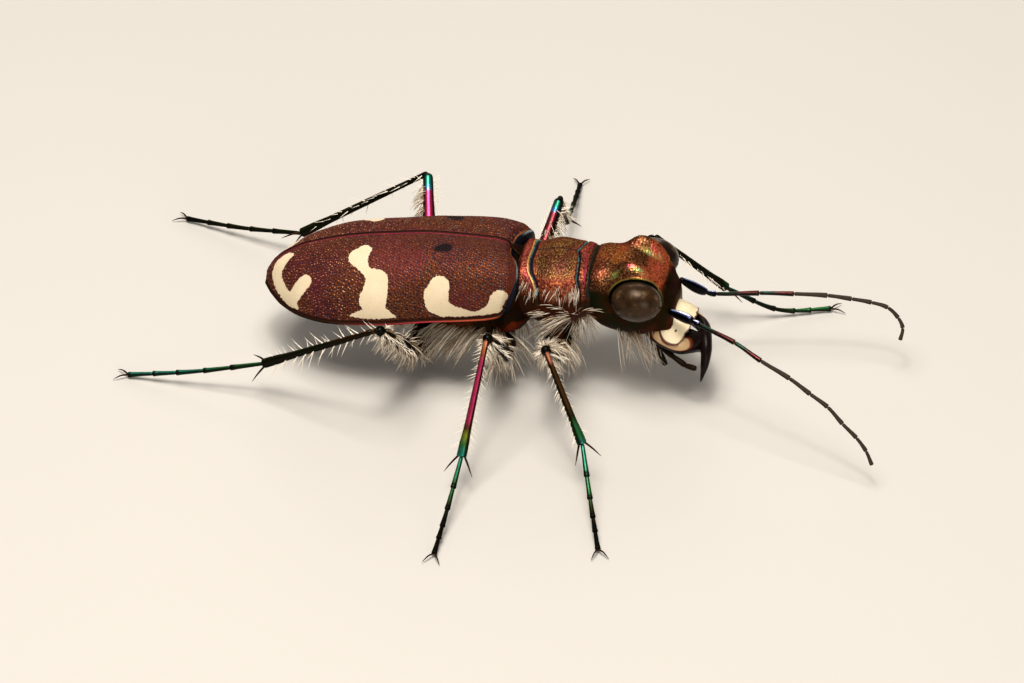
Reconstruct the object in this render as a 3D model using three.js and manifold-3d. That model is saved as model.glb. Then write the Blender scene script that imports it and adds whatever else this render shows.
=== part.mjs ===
// Tiger beetle, a still, life-size model standing on its six feet.
// Millimetres, +Z up, head towards +X, the beetle's left towards +Y.
import * as THREE from 'three';
import { mergeVertices } from 'three/addons/utils/BufferGeometryUtils.js';
import Module from 'manifold-3d';

const wasm = await Module();
wasm.setup();

// Sizes shared by all the pieces
const GAP = 0.3;                // joint cleft between neighbouring pieces
const BODY_ROLL = 5.5;          // degrees, the right side of the trunk is held a little higher
const BODY_PITCH = 2.2;         // degrees, the trunk is held a little higher in front
const AXIS_HEIGHT = 3.5;        // height of the axes that the trunk turns about
const HEAD_YAW = 2.0;           // degrees, the head looks a little to the right
const NECK = new THREE.Vector3(3.95, 0, 3.9);
const LIMB_RADIUS = 0.26;       // slimmest leg and feeler
const FOOT_HEIGHT = 0.19;       // height of the foot's middle line at its last joint

// Elytra: one pair of wing cases, stations from the shoulder back to the tip
const ELYTRON = { shell: 0.5, vault: 0.8, narrowest: 0.05 };   // vault: the shell's share above the inside
const ELYTRA = [
  { x: 1.25, half: 1.98, ridge: 5.25, margin: 3.55, square: 3.2 },
  { x: 1.00, half: 2.20, ridge: 5.50, margin: 3.42, square: 3.0 },
  { x: 0.30, half: 2.38, ridge: 5.62, margin: 3.35, square: 2.9 },
  { x: -1.60, half: 2.55, ridge: 5.66, margin: 3.20, square: 2.3 },
  { x: -3.35, half: 2.70, ridge: 5.50, margin: 3.02, square: 2.0 },
  { x: -5.00, half: 2.60, ridge: 5.24, margin: 2.85, square: 2.0 },
  { x: -6.40, half: 2.10, ridge: 4.78, margin: 2.75, square: 2.0 },
  { x: -7.20, half: 1.50, ridge: 4.32, margin: 2.78, square: 2.0 },
  { x: -7.75, half: 0.88, ridge: 3.85, margin: 2.90, square: 2.0 },
  { x: -8.06, half: 0.38, ridge: 3.36, margin: 2.98, square: 2.0 },
];
// Front edge of each wing case: share of the way down from the seam, and x
const CASE_FRONT = [{ x: 0, edge: 0.98 }, { x: 0.2, edge: 1.22 }, { x: 0.4, edge: 1.38 },
  { x: 0.6, edge: 1.40 }, { x: 0.8, edge: 1.32 }, { x: 1, edge: 1.08 }];
const CASE_FRONT_REACH = 1.15;      // how far back the front edge's curve is felt
const SEAM_DIP = { deep: 0.18, wide: 0.75, behind: -8.0, run: 2.5 };

// Trunk: half width, back, belly, and the height where it is widest
const TRUNK_SQUARE = 2.3;
const ABDOMEN = [
  { x: -1.95, half: 1.50, top: 4.2, widest: 3.1, keel: 2.15 },
  { x: -3.40, half: 1.66, top: 4.2, widest: 3.1, keel: 2.05 },
  { x: -5.20, half: 1.55, top: 3.9, widest: 3.0, keel: 2.05 },
  { x: -6.60, half: 1.00, top: 3.3, widest: 2.8, keel: 2.20 },
  { x: -7.40, half: 0.50, top: 3.0, widest: 2.8, keel: 2.40 },
];
const PTEROTHORAX = [
  { x: 1.32, half: 0.95, top: 4.45, widest: 3.60, keel: 2.80 },
  { x: 0.95, half: 1.40, top: 4.70, widest: 3.30, keel: 2.45 },
  { x: 0.20, half: 1.75, top: 4.80, widest: 3.00, keel: 2.20 },
  { x: -0.80, half: 1.80, top: 4.75, widest: 2.95, keel: 2.10 },
  { x: -1.62, half: 1.62, top: 4.50, widest: 2.95, keel: 2.15 },
];
const PROTHORAX = [
  { x: 1.66, half: 1.38, top: 5.02, widest: 3.95, keel: 2.70 },
  { x: 1.80, half: 1.54, top: 5.10, widest: 3.94, keel: 2.58 },
  { x: 1.98, half: 1.56, top: 5.06, widest: 3.92, keel: 2.50 },
  { x: 2.75, half: 1.78, top: 5.25, widest: 3.85, keel: 2.35 },
  { x: 3.40, half: 1.68, top: 5.15, widest: 3.92, keel: 2.55 },
  { x: 3.60, half: 1.66, top: 5.18, widest: 3.95, keel: 2.70 },
  { x: 3.90, half: 1.52, top: 5.08, widest: 3.97, keel: 2.88 },
];
const HEAD = [
  { x: 4.20, half: 1.36, top: 5.06, widest: 3.95, keel: 2.90 },
  { x: 4.50, half: 1.48, top: 5.20, widest: 3.90, keel: 2.55 },
  { x: 5.10, half: 1.50, top: 5.20, widest: 3.85, keel: 2.35 },
  { x: 5.80, half: 1.50, top: 5.02, widest: 3.75, keel: 2.30 },
  { x: 6.40, half: 1.38, top: 4.66, widest: 3.55, keel: 2.45 },
  { x: 6.80, half: 1.24, top: 4.24, widest: 3.35, keel: 2.70 },
  { x: 7.00, half: 1.08, top: 3.92, widest: 3.25, keel: 2.85 },
];
const HEAD_SQUARE = 2.7;
const EYE = { x: 5.88, y: 1.58, z: 4.20, long: 0.92, wide: 0.70, high: 0.74 };
const BROW = { x: 5.80, y: 1.04, z: 4.90, long: 0.84, wide: 0.32, high: 0.34 };

// Mouth
const LABRUM = { back: 7.00, front: 7.76, high: 3.30, low: 2.92, half: 1.20, thick: 0.5, taper: 0.30,
  bow: 0.28, droop: 0.45, tilt: [0.6, 0.8] };
const MANDIBLES = {
  right: { points: [[6.20, -1.16, 2.80], [6.82, -1.26, 2.54], [7.30, -1.08, 2.24], [7.64, -0.66, 1.78],
    [7.84, -0.10, 1.24], [8.02, 0.42, 1.10], [8.14, 0.84, 1.20]],
  radii: [0.34, 0.36, 0.31, 0.25, 0.21, 0.17, 0.04] },
  left: { points: [[6.30, 1.16, 2.60], [7.05, 1.30, 2.40], [7.58, 1.00, 2.28], [7.94, 0.44, 2.20],
    [8.13, -0.22, 2.08], [8.22, -0.62, 1.76], [8.20, -0.88, 1.30], [8.10, -1.06, 0.78]],
  radii: [0.34, 0.34, 0.29, 0.24, 0.22, 0.20, 0.15, 0.04] },
};
const JAW_FLAT = 0.8;
const MAXILLARY_PALP = [[6.40, -0.86, 1.95], [6.92, -1.02, 1.62], [7.32, -1.18, 1.42], [7.72, -1.36, 1.40]];
const LABIAL_PALP = [[6.05, -0.36, 2.20], [6.45, -0.38, 1.50], [6.70, -0.42, 0.95]];
const PALP_RADII = [0.22, 0.23, 0.22, 0.23, 0.16];

// Feelers: joints from the socket to the tip, eleven segments in three nodes
const ANTENNA_RIGHT = [[7.01, -1.15, 3.98], [7.87, -1.75, 4.12], [8.14, -1.95, 4.14], [9.52, -2.60, 4.02],
  [10.54, -3.05, 3.68], [11.64, -3.50, 3.39], [12.43, -3.80, 3.03], [13.10, -4.05, 2.73],
  [13.68, -4.30, 2.25], [14.22, -4.50, 1.85], [14.60, -4.70, 1.46], [14.85, -4.90, 1.03]];
const ANTENNA_LEFT = [[7.04, 1.00, 3.84], [7.87, 1.45, 3.09], [8.22, 1.60, 2.95], [9.73, 2.05, 2.86],
  [10.96, 2.30, 2.81], [12.16, 2.50, 2.75], [13.03, 2.60, 2.64], [13.76, 2.60, 2.58],
  [14.37, 2.50, 2.50], [14.78, 2.35, 2.20], [14.98, 2.15, 1.91], [14.93, 1.90, 1.54]];
const ANTENNA = { radius: 0.25, swell: 0.02 };

// Legs: hip, knee, ankle and toe of each, and how thick they are
const HIPS = { front: [2.90, 1.24, 1.50], middle: [0.98, 1.46, 1.36], hind: [-2.36, 1.50, 1.20] };
const COXA_ROOTS = { front: [2.72, 0.50, 2.10], middle: [0.55, 0.50, 1.80], hind: [-1.85, 0.45, 1.62] };
const LEGS = {
  front_right: { knee: [3.06, -4.75, 4.40], ankle: [4.70, -6.38, 1.65], toe: [5.94, -10.23] },
  middle_right: { knee: [0.98, -4.85, 4.74], ankle: [0.55, -7.50, 1.35], toe: [0.34, -11.50] },
  hind_right: { knee: [-2.85, -5.22, 4.83], ankle: [-7.45, -3.62, 1.51], toe: [-12.58, -3.39] },
  front_left: { knee: [5.69, 3.13, 4.11], ankle: [8.29, 3.79, 1.63], toe: [11.98, 5.25], sag: 0.5 },
  middle_left: { knee: [1.93, 4.56, 4.31], ankle: [1.69, 7.40, 1.25], toe: [1.51, 11.31] },
  hind_left: { knee: [-3.19, 5.51, 4.10], ankle: [-7.93, 5.00, 1.10], toe: [-12.65, 6.45] },
};
const FEMUR_RADII = [0.27, 0.36, 0.38, 0.33, 0.28];
const COXA_RADII = [0.5, 0.5, 0.34];
const SPUR = { length: 0.78, radius: 0.13, back: 0.14, ahead: 0.6, aside: 0.8 };
const TARSUS = { segments: 5, swell: 0.03, sag: 0.12 };
const CLAW = { length: 0.6, radius: 0.12, spread: 35, back: 0.12 };
const TIP_RADIUS = 0.04;

// Hair: flat tapered locks in rows on the flanks and under the head, all bending down along the body.
// Each row gives x from and to, how far round from the back it lies in degrees, and its number of locks
const LOCK = { length: 1.15, radius: 0.27, flat: 1.7, sunk: 0.35, stand: 0.3, bend: 0.75, vary: 0.2,
  least: 0.6 };
const COATS = {
  prothorax: { rows: [[2.2, 3.35, 100, 2], [1.95, 3.3, 124, 2], [2.1, 3.5, 148, 2]],
    lie: [-0.45, 0.25, -1] },
  pterothorax: { rows: [[-1.1, 0.4, 112, 2], [-1.3, 0.2, 136, 2], [-0.9, 0.1, 158, 2]],
    lie: [-0.75, 0.2, -1] },
  head: { rows: [[4.75, 5.7, 140, 2], [4.6, 5.4, 164, 2]], lie: [0.35, 0.15, -1] },
};

const COLOURS = {
  case: [0x4a1f18, 0.45, 0.3], body: [0x3a2418, 0.5, 0.4], eye: [0x3b3029, 0.25, 0],
  ivory: [0xe6d9b4, 0.5, 0], jaw: [0x120c0a, 0.25, 0.1], feeler: [0x1c2a2a, 0.4, 0.4],
  leg: [0x2e3a3a, 0.35, 0.6],
};

const beetle = new THREE.Group();

// One named mesh of the beetle
function add(name, geometry, colour) {
  const [color, roughness, metalness] = COLOURS[colour];
  const mesh = new THREE.Mesh(geometry, new THREE.MeshStandardMaterial({ color, roughness, metalness }));
  mesh.name = name;
  beetle.add(mesh);
}

// Vertices merged, faces pointing out
function closed(geometry) {
  geometry.deleteAttribute('normal');
  geometry.deleteAttribute('uv');
  const merged = mergeVertices(geometry, 1e-4);
  const at = merged.getAttribute('position');
  const index = merged.getIndex();
  const kept = [];
  let volume = 0;
  const [a, b, c] = [new THREE.Vector3(), new THREE.Vector3(), new THREE.Vector3()];
  for (let i = 0; i < index.count; i += 3) {
    const [p, q, r] = [index.getX(i), index.getX(i + 1), index.getX(i + 2)];
    if (p === q || q === r || r === p) continue;
    kept.push([p, q, r]);
    b.fromBufferAttribute(at, q).cross(c.fromBufferAttribute(at, r));
    volume += a.fromBufferAttribute(at, p).dot(b);
  }
  merged.setIndex(kept.map(([p, q, r]) => (volume < 0 ? [p, r, q] : [p, q, r])).flat());
  return merged;
}

function toSolid(geometry) {
  return new wasm.Manifold(new wasm.Mesh({
    numProp: 3,
    vertProperties: new Float32Array(geometry.getAttribute('position').array),
    triVerts: new Uint32Array(geometry.getIndex().array),
  }));
}

// The largest closed surface of a solid, as a geometry
function toGeometry(solid) {
  const size = (piece) => Math.abs(piece.volume());
  const largest = solid.decompose().sort((p, q) => size(q) - size(p))[0];
  const mesh = largest.getMesh();
  const geometry = new THREE.BufferGeometry();
  geometry.setAttribute('position', new THREE.BufferAttribute(new Float32Array(mesh.vertProperties), 3));
  geometry.setIndex(Array.from(mesh.triVerts));
  return geometry;
}

function fuse(geometries) {
  return toGeometry(geometries.map(toSolid).reduce((whole, piece) => whole.add(piece)));
}

function cut(geometry, tools) {
  return toGeometry(tools.map(toSolid).reduce((whole, tool) => whole.subtract(tool), toSolid(geometry)));
}

// A cylinder whose wall follows at(turn, along, out): out is 0 on the end faces' middles and 1 on the wall
function loft(sides, steps, at) {
  const geometry = new THREE.CylinderGeometry(1, 1, 1, sides, steps);
  const position = geometry.getAttribute('position');
  for (let i = 0; i < position.count; i += 1) {
    const [x, y, z] = [position.getX(i), position.getY(i), position.getZ(i)];
    const out = Math.hypot(x, z) > 0.5 ? 1 : 0;
    const point = at(Math.atan2(x, z), y + 0.5, out);
    position.setXYZ(i, point.x, point.y, point.z);
  }
  return closed(geometry);
}

// Smooth value between stations, with no overshoot
function smooth(stations, key) {
  const list = [...stations].sort((p, q) => p.x - q.x);
  const slope = (i) => (list[i + 1][key] - list[i][key]) / (list[i + 1].x - list[i].x);
  const tangent = (i) => {
    if (i === 0) return slope(0);
    if (i === list.length - 1) return slope(i - 1);
    const [before, after] = [slope(i - 1), slope(i)];
    return before * after <= 0 ? 0 : (2 * before * after) / (before + after);
  };
  return (x) => {
    let i = 0;
    while (i < list.length - 2 && x > list[i + 1].x) i += 1;
    const span = list[i + 1].x - list[i].x;
    const t = THREE.MathUtils.clamp((x - list[i].x) / span, 0, 1);
    const [t2, t3] = [t * t, t * t * t];
    return list[i][key] * (2 * t3 - 3 * t2 + 1) + tangent(i) * span * (t3 - 2 * t2 + t)
      + list[i + 1][key] * (3 * t2 - 2 * t3) + tangent(i + 1) * span * (t3 - t2);
  };
}

const power = (value, exponent) => Math.sign(value) * Math.abs(value) ** exponent;
const ease = (along) => (1 - Math.cos(Math.PI * along)) / 2;
const vector = (list) => new THREE.Vector3(...list);

// How the trunk is held, and the head's small turn at the neck
function hold(point) {
  const turned = point.clone();
  turned.z -= AXIS_HEIGHT;
  turned.applyAxisAngle(new THREE.Vector3(1, 0, 0), THREE.MathUtils.degToRad(-BODY_ROLL));
  turned.applyAxisAngle(new THREE.Vector3(0, 1, 0), THREE.MathUtils.degToRad(-BODY_PITCH));
  turned.z += AXIS_HEIGHT;
  return turned;
}
function turnHead(point) {
  const turned = point.clone().sub(NECK);
  turned.applyAxisAngle(new THREE.Vector3(0, 0, 1), THREE.MathUtils.degToRad(-HEAD_YAW));
  return hold(turned.add(NECK));
}

// A point of the trunk's skin: out is 0 on its middle line and 1 on the skin
function skin(stations, square, grow) {
  const of = (key) => smooth(stations, key);
  const [half, top, widest, keel] = ['half', 'top', 'widest', 'keel'].map(of);
  return (x, turn, out) => {
    const y = out * (half(x) + grow) * power(Math.sin(turn), 2 / square);
    const rise = power(Math.cos(turn), 2 / square);
    const z = widest(x) + out * rise * (grow + (rise > 0 ? top(x) - widest(x) : widest(x) - keel(x)));
    return new THREE.Vector3(x, y, z);
  };
}

// A part of the trunk through its stations
function trunk(stations, sides, steps, place, square = TRUNK_SQUARE, grow = 0) {
  const at = skin(stations, square, grow);
  const [first, last] = [stations[0].x, stations.at(-1).x];
  const ahead = Math.sign(last - first) * grow;
  return loft(sides, steps, (turn, along, out) => {
    const x = first - ahead + (last - first + 2 * ahead) * ease(along);
    return place(at(x, turn, out));
  });
}

// A limb along a curve, with its radius at evenly spaced stations
function limb(points, radiusAt, sides, steps, flatten = 1, up = new THREE.Vector3(0, 0, 1)) {
  const curve = new THREE.CatmullRomCurve3(points, false, 'centripetal');
  return loft(sides, steps, (turn, along, out) => {
    const centre = curve.getPointAt(along);
    const forward = curve.getTangentAt(along);
    const side = forward.clone().cross(up).normalize();
    const over = side.clone().cross(forward);
    const radius = radiusAt(along) * out;
    return centre.addScaledVector(side, Math.sin(turn) * radius * flatten)
      .addScaledVector(over, Math.cos(turn) * radius);
  });
}

// The same limb with the cleft added all round, to cut its neighbours with
function clearance(points, radiusAt, sides = 12, steps = 10) {
  const beyond = (end, inner) => end.clone().add(end.clone().sub(inner).setLength(GAP));
  const longer = [beyond(points[0], points[1]), ...points, beyond(points.at(-1), points.at(-2))];
  return limb(longer, (along) => radiusAt(along) + GAP, sides, steps);
}

// Random numbers from 0 to 1, the same on each run
function seeded(seed) {
  let state = seed;
  return () => {
    state = (state * 1664525 + 1013904223) % 4294967296;
    return state / 4294967296;
  };
}

// Radius between a few evenly spaced values
function radiusFrom(values) {
  return (along) => {
    const place = along * (values.length - 1);
    const i = Math.min(Math.floor(place), values.length - 2);
    return THREE.MathUtils.lerp(values[i], values[i + 1], place - i);
  };
}

function ellipsoid(centre, radii, place, grow = 0) {
  const size = vector(radii).addScalar(grow);
  const geometry = new THREE.SphereGeometry(1, 20, 12);
  const position = geometry.getAttribute('position');
  for (let i = 0; i < position.count; i += 1) {
    const out = new THREE.Vector3(position.getX(i), position.getZ(i), position.getY(i));
    const placed = place(out.multiply(size).add(centre));
    position.setXYZ(i, placed.x, placed.y, placed.z);
  }
  return closed(geometry);
}

// Wing cases: each a curved shell from the shut seam to the side edge
function elytron(side) {
  const of = (key) => smooth(ELYTRA, key);
  const [half, ridge, margin, square] = ['half', 'ridge', 'margin', 'square'].map(of);
  const frontEdge = smooth(CASE_FRONT, 'edge');
  const [first, last] = [ELYTRA[0].x, ELYTRA.at(-1).x];
  const seam = GAP / 2;
  return loft(26, 22, (turn, along, out) => {
    const x = first + (last - first) * ease(along);
    const share = (turn / Math.PI + 1) / 2;
    const inside = share > 0.5;
    const arc = (inside ? 1 - share : share) * Math.PI;
    const shell = out ? (inside ? ELYTRON.shell : 0) : ELYTRON.shell / 2;
    const angle = out ? arc : Math.PI / 4;
    const wide = Math.max(half(x) - seam - shell, ELYTRON.narrowest);
    const high = Math.max(ridge(x) - margin(x) - shell * ELYTRON.vault, ELYTRON.narrowest);
    const y = seam + wide * power(Math.sin(angle), 2 / square(x));
    const dip = SEAM_DIP.deep * Math.exp(-((y / SEAM_DIP.wide) ** 2))
      * THREE.MathUtils.clamp((x - SEAM_DIP.behind) / SEAM_DIP.run, 0, 1);
    const z = margin(x) + high * power(Math.cos(angle), 2 / square(x)) - dip;
    const felt = THREE.MathUtils.clamp(1 - (first - x) / CASE_FRONT_REACH, 0, 1) ** 2;
    const shaped = x + (frontEdge(angle / (Math.PI / 2)) - first) * felt;
    return hold(new THREE.Vector3(shaped, side * y, z));
  });
}

add('elytron_right', elytron(-1), 'case');
add('elytron_left', elytron(1), 'case');
add('abdomen', trunk(ABDOMEN, 16, 10, hold), 'body');

// Joints of each leg, its root and hip on the trunk
const sideOf = { right: -1, left: 1 };
const coxaRadius = radiusFrom(COXA_RADII);
const femurRadius = radiusFrom(FEMUR_RADII);
const legs = Object.entries(LEGS).map(([name, leg]) => {
  const [pair, side] = name.split('_');
  const onSide = ([x, y, z]) => hold(new THREE.Vector3(x, sideOf[side] * y, z));
  const [root, hip] = [onSide(COXA_ROOTS[pair]), onSide(HIPS[pair])];
  const toe = new THREE.Vector3(...leg.toe, FOOT_HEIGHT);
  const { knee, ankle, sag = TARSUS.sag } = leg;
  return { name, pair, root, hip, knee: vector(knee), ankle: vector(ankle), toe, sag };
});
const legClearances = legs.flatMap(({ root, hip, knee }) => [clearance([root, hip], coxaRadius, 8, 3),
  clearance([hip, knee], femurRadius, 8, 4)]).map(toSolid);

// The locks of one part of the trunk, on both its sides, cut clear of the legs and joined to it.
// A lock that the legs would leave little of isn't set
function coated(core, stations, square, coat, place, random) {
  const at = skin(stations, square, 0);
  const varied = (value) => value * (1 + LOCK.vary * (2 * random() - 1));
  let whole = toSolid(core);
  for (const [from, to, degrees, count] of coat.rows) {
    for (let i = 0; i < 2 * count; i += 1) {
      const side = i % 2 ? 1 : -1;
      const x = THREE.MathUtils.lerp(from, to, (Math.floor(i / 2) + 0.5 * random()) / (count - 0.5));
      const turn = side * THREE.MathUtils.degToRad(degrees);
      const root = at(x, turn, 1);
      const out = root.clone().sub(at(x, turn, 0)).setX(0).normalize();
      const lie = new THREE.Vector3(coat.lie[0], side * coat.lie[1], coat.lie[2]).normalize();
      const length = varied(LOCK.length);
      const point = (outward, onward) => place(root.clone().addScaledVector(out, outward)
        .addScaledVector(lie, onward));
      const points = [point(-LOCK.sunk, 0), point(LOCK.stand / 2, length * 0.1),
        point(LOCK.stand, length * (1 - LOCK.bend / 2)), point(LOCK.stand * varied(LOCK.bend), length)];
      const radii = [1, 1, 0.8, TIP_RADIUS / LOCK.radius].map((share) => share * varied(LOCK.radius));
      const lock = toSolid(limb(points, radiusFrom(radii), 4, 3, LOCK.flat, out));
      const clear = legClearances.reduce((rest, tool) => rest.subtract(tool), lock);
      if (clear.volume() > LOCK.least * lock.volume()) whole = whole.add(clear);
    }
  }
  return toGeometry(whole);
}
const chest = [trunk(PTEROTHORAX, 20, 10, hold), PTEROTHORAX, TRUNK_SQUARE, COATS.pterothorax, hold];
add('pterothorax', coated(...chest, seeded(3)), 'body');
const collar = [trunk(PROTHORAX, 24, 14, hold), PROTHORAX, TRUNK_SQUARE, COATS.prothorax, hold];
add('prothorax', coated(...collar, seeded(5)), 'body');

// Head: the capsule with brow ridges, cut away round the eyes
function eyeball(side, grow) {
  const centre = new THREE.Vector3(EYE.x, side * EYE.y, EYE.z);
  return ellipsoid(centre, [EYE.long, EYE.wide, EYE.high], turnHead, grow);
}
function brow(side, grow = 0) {
  const centre = new THREE.Vector3(BROW.x, side * BROW.y, BROW.z);
  return ellipsoid(centre, [BROW.long, BROW.wide, BROW.high], turnHead, grow);
}
const capsule = fuse([trunk(HEAD, 24, 14, turnHead, HEAD_SQUARE), brow(-1), brow(1)]);
const face = cut(capsule, [eyeball(-1, GAP), eyeball(1, GAP)]);
add('head', coated(face, HEAD, HEAD_SQUARE, COATS.head, turnHead, seeded(8)), 'body');
const headClearances = [trunk(HEAD, 20, 10, turnHead, HEAD_SQUARE, GAP),
  ...[-1, 1].flatMap((side) => [eyeball(side, GAP), brow(side, GAP)])];
for (const side of ['right', 'left']) add(`eye_${side}`, eyeball(sideOf[side], 0), 'eye');

// Labrum: a plate with a curved front edge, thick as the real one is wide-lipped
function labrum() {
  return loft(16, 4, (turn, along, out) => {
    const x = THREE.MathUtils.lerp(LABRUM.back, LABRUM.front, along);
    const z = THREE.MathUtils.lerp(LABRUM.high, LABRUM.low, along);
    const wide = LABRUM.half * (1 - LABRUM.taper * along * along);
    const y = out * wide * Math.sin(turn);
    const thick = out * (LABRUM.thick / 2) * Math.cos(turn);
    const outward = (y / LABRUM.half) ** 2;
    const ahead = x - LABRUM.bow * outward + thick * LABRUM.tilt[0];
    return turnHead(new THREE.Vector3(ahead, y, z - LABRUM.droop * outward + thick * LABRUM.tilt[1]));
  });
}
function mandible(side, grow, sides, steps) {
  const points = MANDIBLES[side].points.map((point) => turnHead(vector(point)));
  const radius = radiusFrom(MANDIBLES[side].radii);
  return limb(points, (along) => radius(along) + grow, sides, steps, JAW_FLAT);
}
const jawClearances = ['right', 'left'].map((side) => mandible(side, GAP, 8, 8));
add('labrum', cut(labrum(), [...headClearances, ...jawClearances]), 'ivory');

for (const side of ['right', 'left']) {
  add(`mandible_${side}`, cut(mandible(side, 0, 10, 12), headClearances), 'jaw');
  const mirror = ([x, y, z]) => turnHead(new THREE.Vector3(x, -sideOf[side] * y, z));
  for (const [name, palp] of [['maxillary', MAXILLARY_PALP], ['labial', LABIAL_PALP]]) {
    const stem = limb(palp.map(mirror), radiusFrom(PALP_RADII), 8, 8);
    add(`${name}_palp_${side}`, cut(stem, headClearances), 'jaw');
  }
}

// Feelers
function feeler(joints, from, to, name) {
  const points = joints.slice(from, to + 1).map(vector);
  const move = (point, other, by) => point.lerp(other, by / point.distanceTo(other));
  move(points[0], points[1], from === 0 ? -GAP : GAP / 2);
  if (to < joints.length - 1) move(points.at(-1), points.at(-2), GAP / 2);
  const segments = to - from;
  const swell = (along) => Math.sin(along * segments * Math.PI * 2 - Math.PI / 2);
  const radius = (along) => ANTENNA.radius + ANTENNA.swell * swell(along);
  const length = limb(points, radius, 8, segments * 3);
  add(name, from === 0 ? cut(length, headClearances) : length, 'feeler');
}
for (const [side, joints] of [['right', ANTENNA_RIGHT], ['left', ANTENNA_LEFT]]) {
  feeler(joints, 0, 2, `antenna_${side}_scape`);
  feeler(joints, 2, 6, `antenna_${side}_inner`);
  feeler(joints, 6, 11, `antenna_${side}_outer`);
}

// Legs
function tapered(root, direction, length, radius) {
  const tip = root.clone().addScaledVector(direction.clone().normalize(), length);
  return limb([root, root.clone().lerp(tip, 0.5), tip], radiusFrom([radius, radius * 0.8, TIP_RADIUS]), 5, 2);
}

function onFloor(geometry) {
  const position = geometry.getAttribute('position');
  for (let i = 0; i < position.count; i += 1) position.setZ(i, Math.max(0, position.getZ(i)));
  return geometry;
}

const TRUNK_OVER = { front: [PROTHORAX], middle: [PTEROTHORAX], hind: [PTEROTHORAX, ABDOMEN] };
const shinRadius = () => LIMB_RADIUS;
for (const { name, pair, root, hip, knee, ankle, toe, sag } of legs) {
  const above = TRUNK_OVER[pair].map((stations) => trunk(stations, 20, 10, hold, TRUNK_SQUARE, GAP));
  add(`${name}_coxa`, cut(limb([root, hip], coxaRadius, 10, 4), above), 'body');
  const femur = limb([hip, knee], femurRadius, 10, 8);
  add(`${name}_femur`, cut(femur, [clearance([root, hip], coxaRadius)]), 'leg');
  const along = ankle.clone().sub(knee).normalize();
  const across = along.clone().cross(toe.clone().sub(ankle)).normalize();
  const spurRoot = ankle.clone().addScaledVector(along, -SPUR.back);
  const spurs = [-1, 1].map((hand) => {
    const pointing = along.clone().multiplyScalar(SPUR.ahead).addScaledVector(across, hand * SPUR.aside);
    return tapered(spurRoot, pointing, SPUR.length, SPUR.radius);
  });
  const shin = fuse([limb([knee, ankle], shinRadius, 8, 8), ...spurs]);
  add(`${name}_tibia`, cut(shin, [clearance([hip, knee], femurRadius)]), 'leg');
  const middle = ankle.clone().lerp(toe, 0.5).add(new THREE.Vector3(0, 0, -sag));
  const swell = (t) => LIMB_RADIUS + TARSUS.swell * Math.sin((t * TARSUS.segments - 0.25) * 2 * Math.PI);
  const pads = limb([ankle, middle, toe], swell, 6, TARSUS.segments * 3);
  const ahead = toe.clone().sub(ankle).setZ(0).normalize();
  const claws = [-1, 1].map((hand) => tapered(toe.clone().addScaledVector(ahead, -CLAW.back),
    ahead.clone().applyAxisAngle(new THREE.Vector3(0, 0, 1), THREE.MathUtils.degToRad(hand * CLAW.spread)),
    CLAW.length, CLAW.radius));
  const foot = cut(fuse([pads, ...claws]), [clearance([knee, ankle], shinRadius)]);
  add(`${name}_tarsus`, onFloor(foot), 'leg');
}

// Origin at the middle of the footprint
const box = new THREE.Box3().setFromObject(beetle);
const centre = box.getCenter(new THREE.Vector3());
beetle.position.set(-centre.x, -centre.y, -box.min.z);

export default beetle;
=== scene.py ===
# Tiger beetle at life size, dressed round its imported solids.
import math

import bpy
import numpy as np
from mathutils import Matrix, Vector, noise
from mathutils.kdtree import KDTree


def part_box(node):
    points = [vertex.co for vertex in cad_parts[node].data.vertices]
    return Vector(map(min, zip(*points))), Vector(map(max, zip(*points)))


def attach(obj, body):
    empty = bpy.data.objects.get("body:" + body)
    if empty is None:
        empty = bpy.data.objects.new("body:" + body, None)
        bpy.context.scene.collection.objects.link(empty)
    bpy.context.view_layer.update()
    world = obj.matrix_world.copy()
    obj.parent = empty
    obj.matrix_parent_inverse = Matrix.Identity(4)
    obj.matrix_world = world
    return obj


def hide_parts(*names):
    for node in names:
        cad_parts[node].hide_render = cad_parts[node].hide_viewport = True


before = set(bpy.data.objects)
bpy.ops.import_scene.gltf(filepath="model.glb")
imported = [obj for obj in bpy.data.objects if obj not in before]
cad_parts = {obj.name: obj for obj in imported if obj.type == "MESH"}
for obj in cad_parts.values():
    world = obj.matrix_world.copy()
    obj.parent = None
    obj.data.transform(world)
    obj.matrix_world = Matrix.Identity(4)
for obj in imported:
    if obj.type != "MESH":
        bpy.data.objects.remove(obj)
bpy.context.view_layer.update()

# How the beetle stands.
# The trunk leans a little to its left and rises towards the head, and the head looks slightly
# to the right. Shapes are worked out in millimetres on these axes and put in the frame at the end.
MM = 0.001
BODY_ROLL, BODY_PITCH, HEAD_YAW = math.radians(-5.5), math.radians(-2.2), math.radians(-2.0)
AXIS_HEIGHT = 3.5
NECK = np.array([3.95, 0.0, 3.9])
EYE = {"centre": (5.88, 1.58, 4.20), "radii": (0.92, 0.70, 0.74)}
SIDES = {"right": -1, "left": 1}


def spun(points, angle, axis):
    turn = np.array(Matrix.Rotation(angle, 3, axis))
    return np.asarray(points, float) @ turn.T


def hold(points):
    lifted = np.asarray(points, float) - (0, 0, AXIS_HEIGHT)
    return spun(spun(lifted, BODY_ROLL, "X"), BODY_PITCH, "Y") + (0, 0, AXIS_HEIGHT)


def turn_head(points):
    return hold(spun(np.asarray(points, float) - NECK, HEAD_YAW, "Z") + NECK)


def mirrored(points, side):
    return np.asarray(points, float) * (1, side, 1)


eye_low, eye_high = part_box("eye_right")
eye_middle = turn_head(mirrored(EYE["centre"], SIDES["right"]))
SHIFT = np.array((eye_low + eye_high) / 2) / MM - eye_middle


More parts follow.
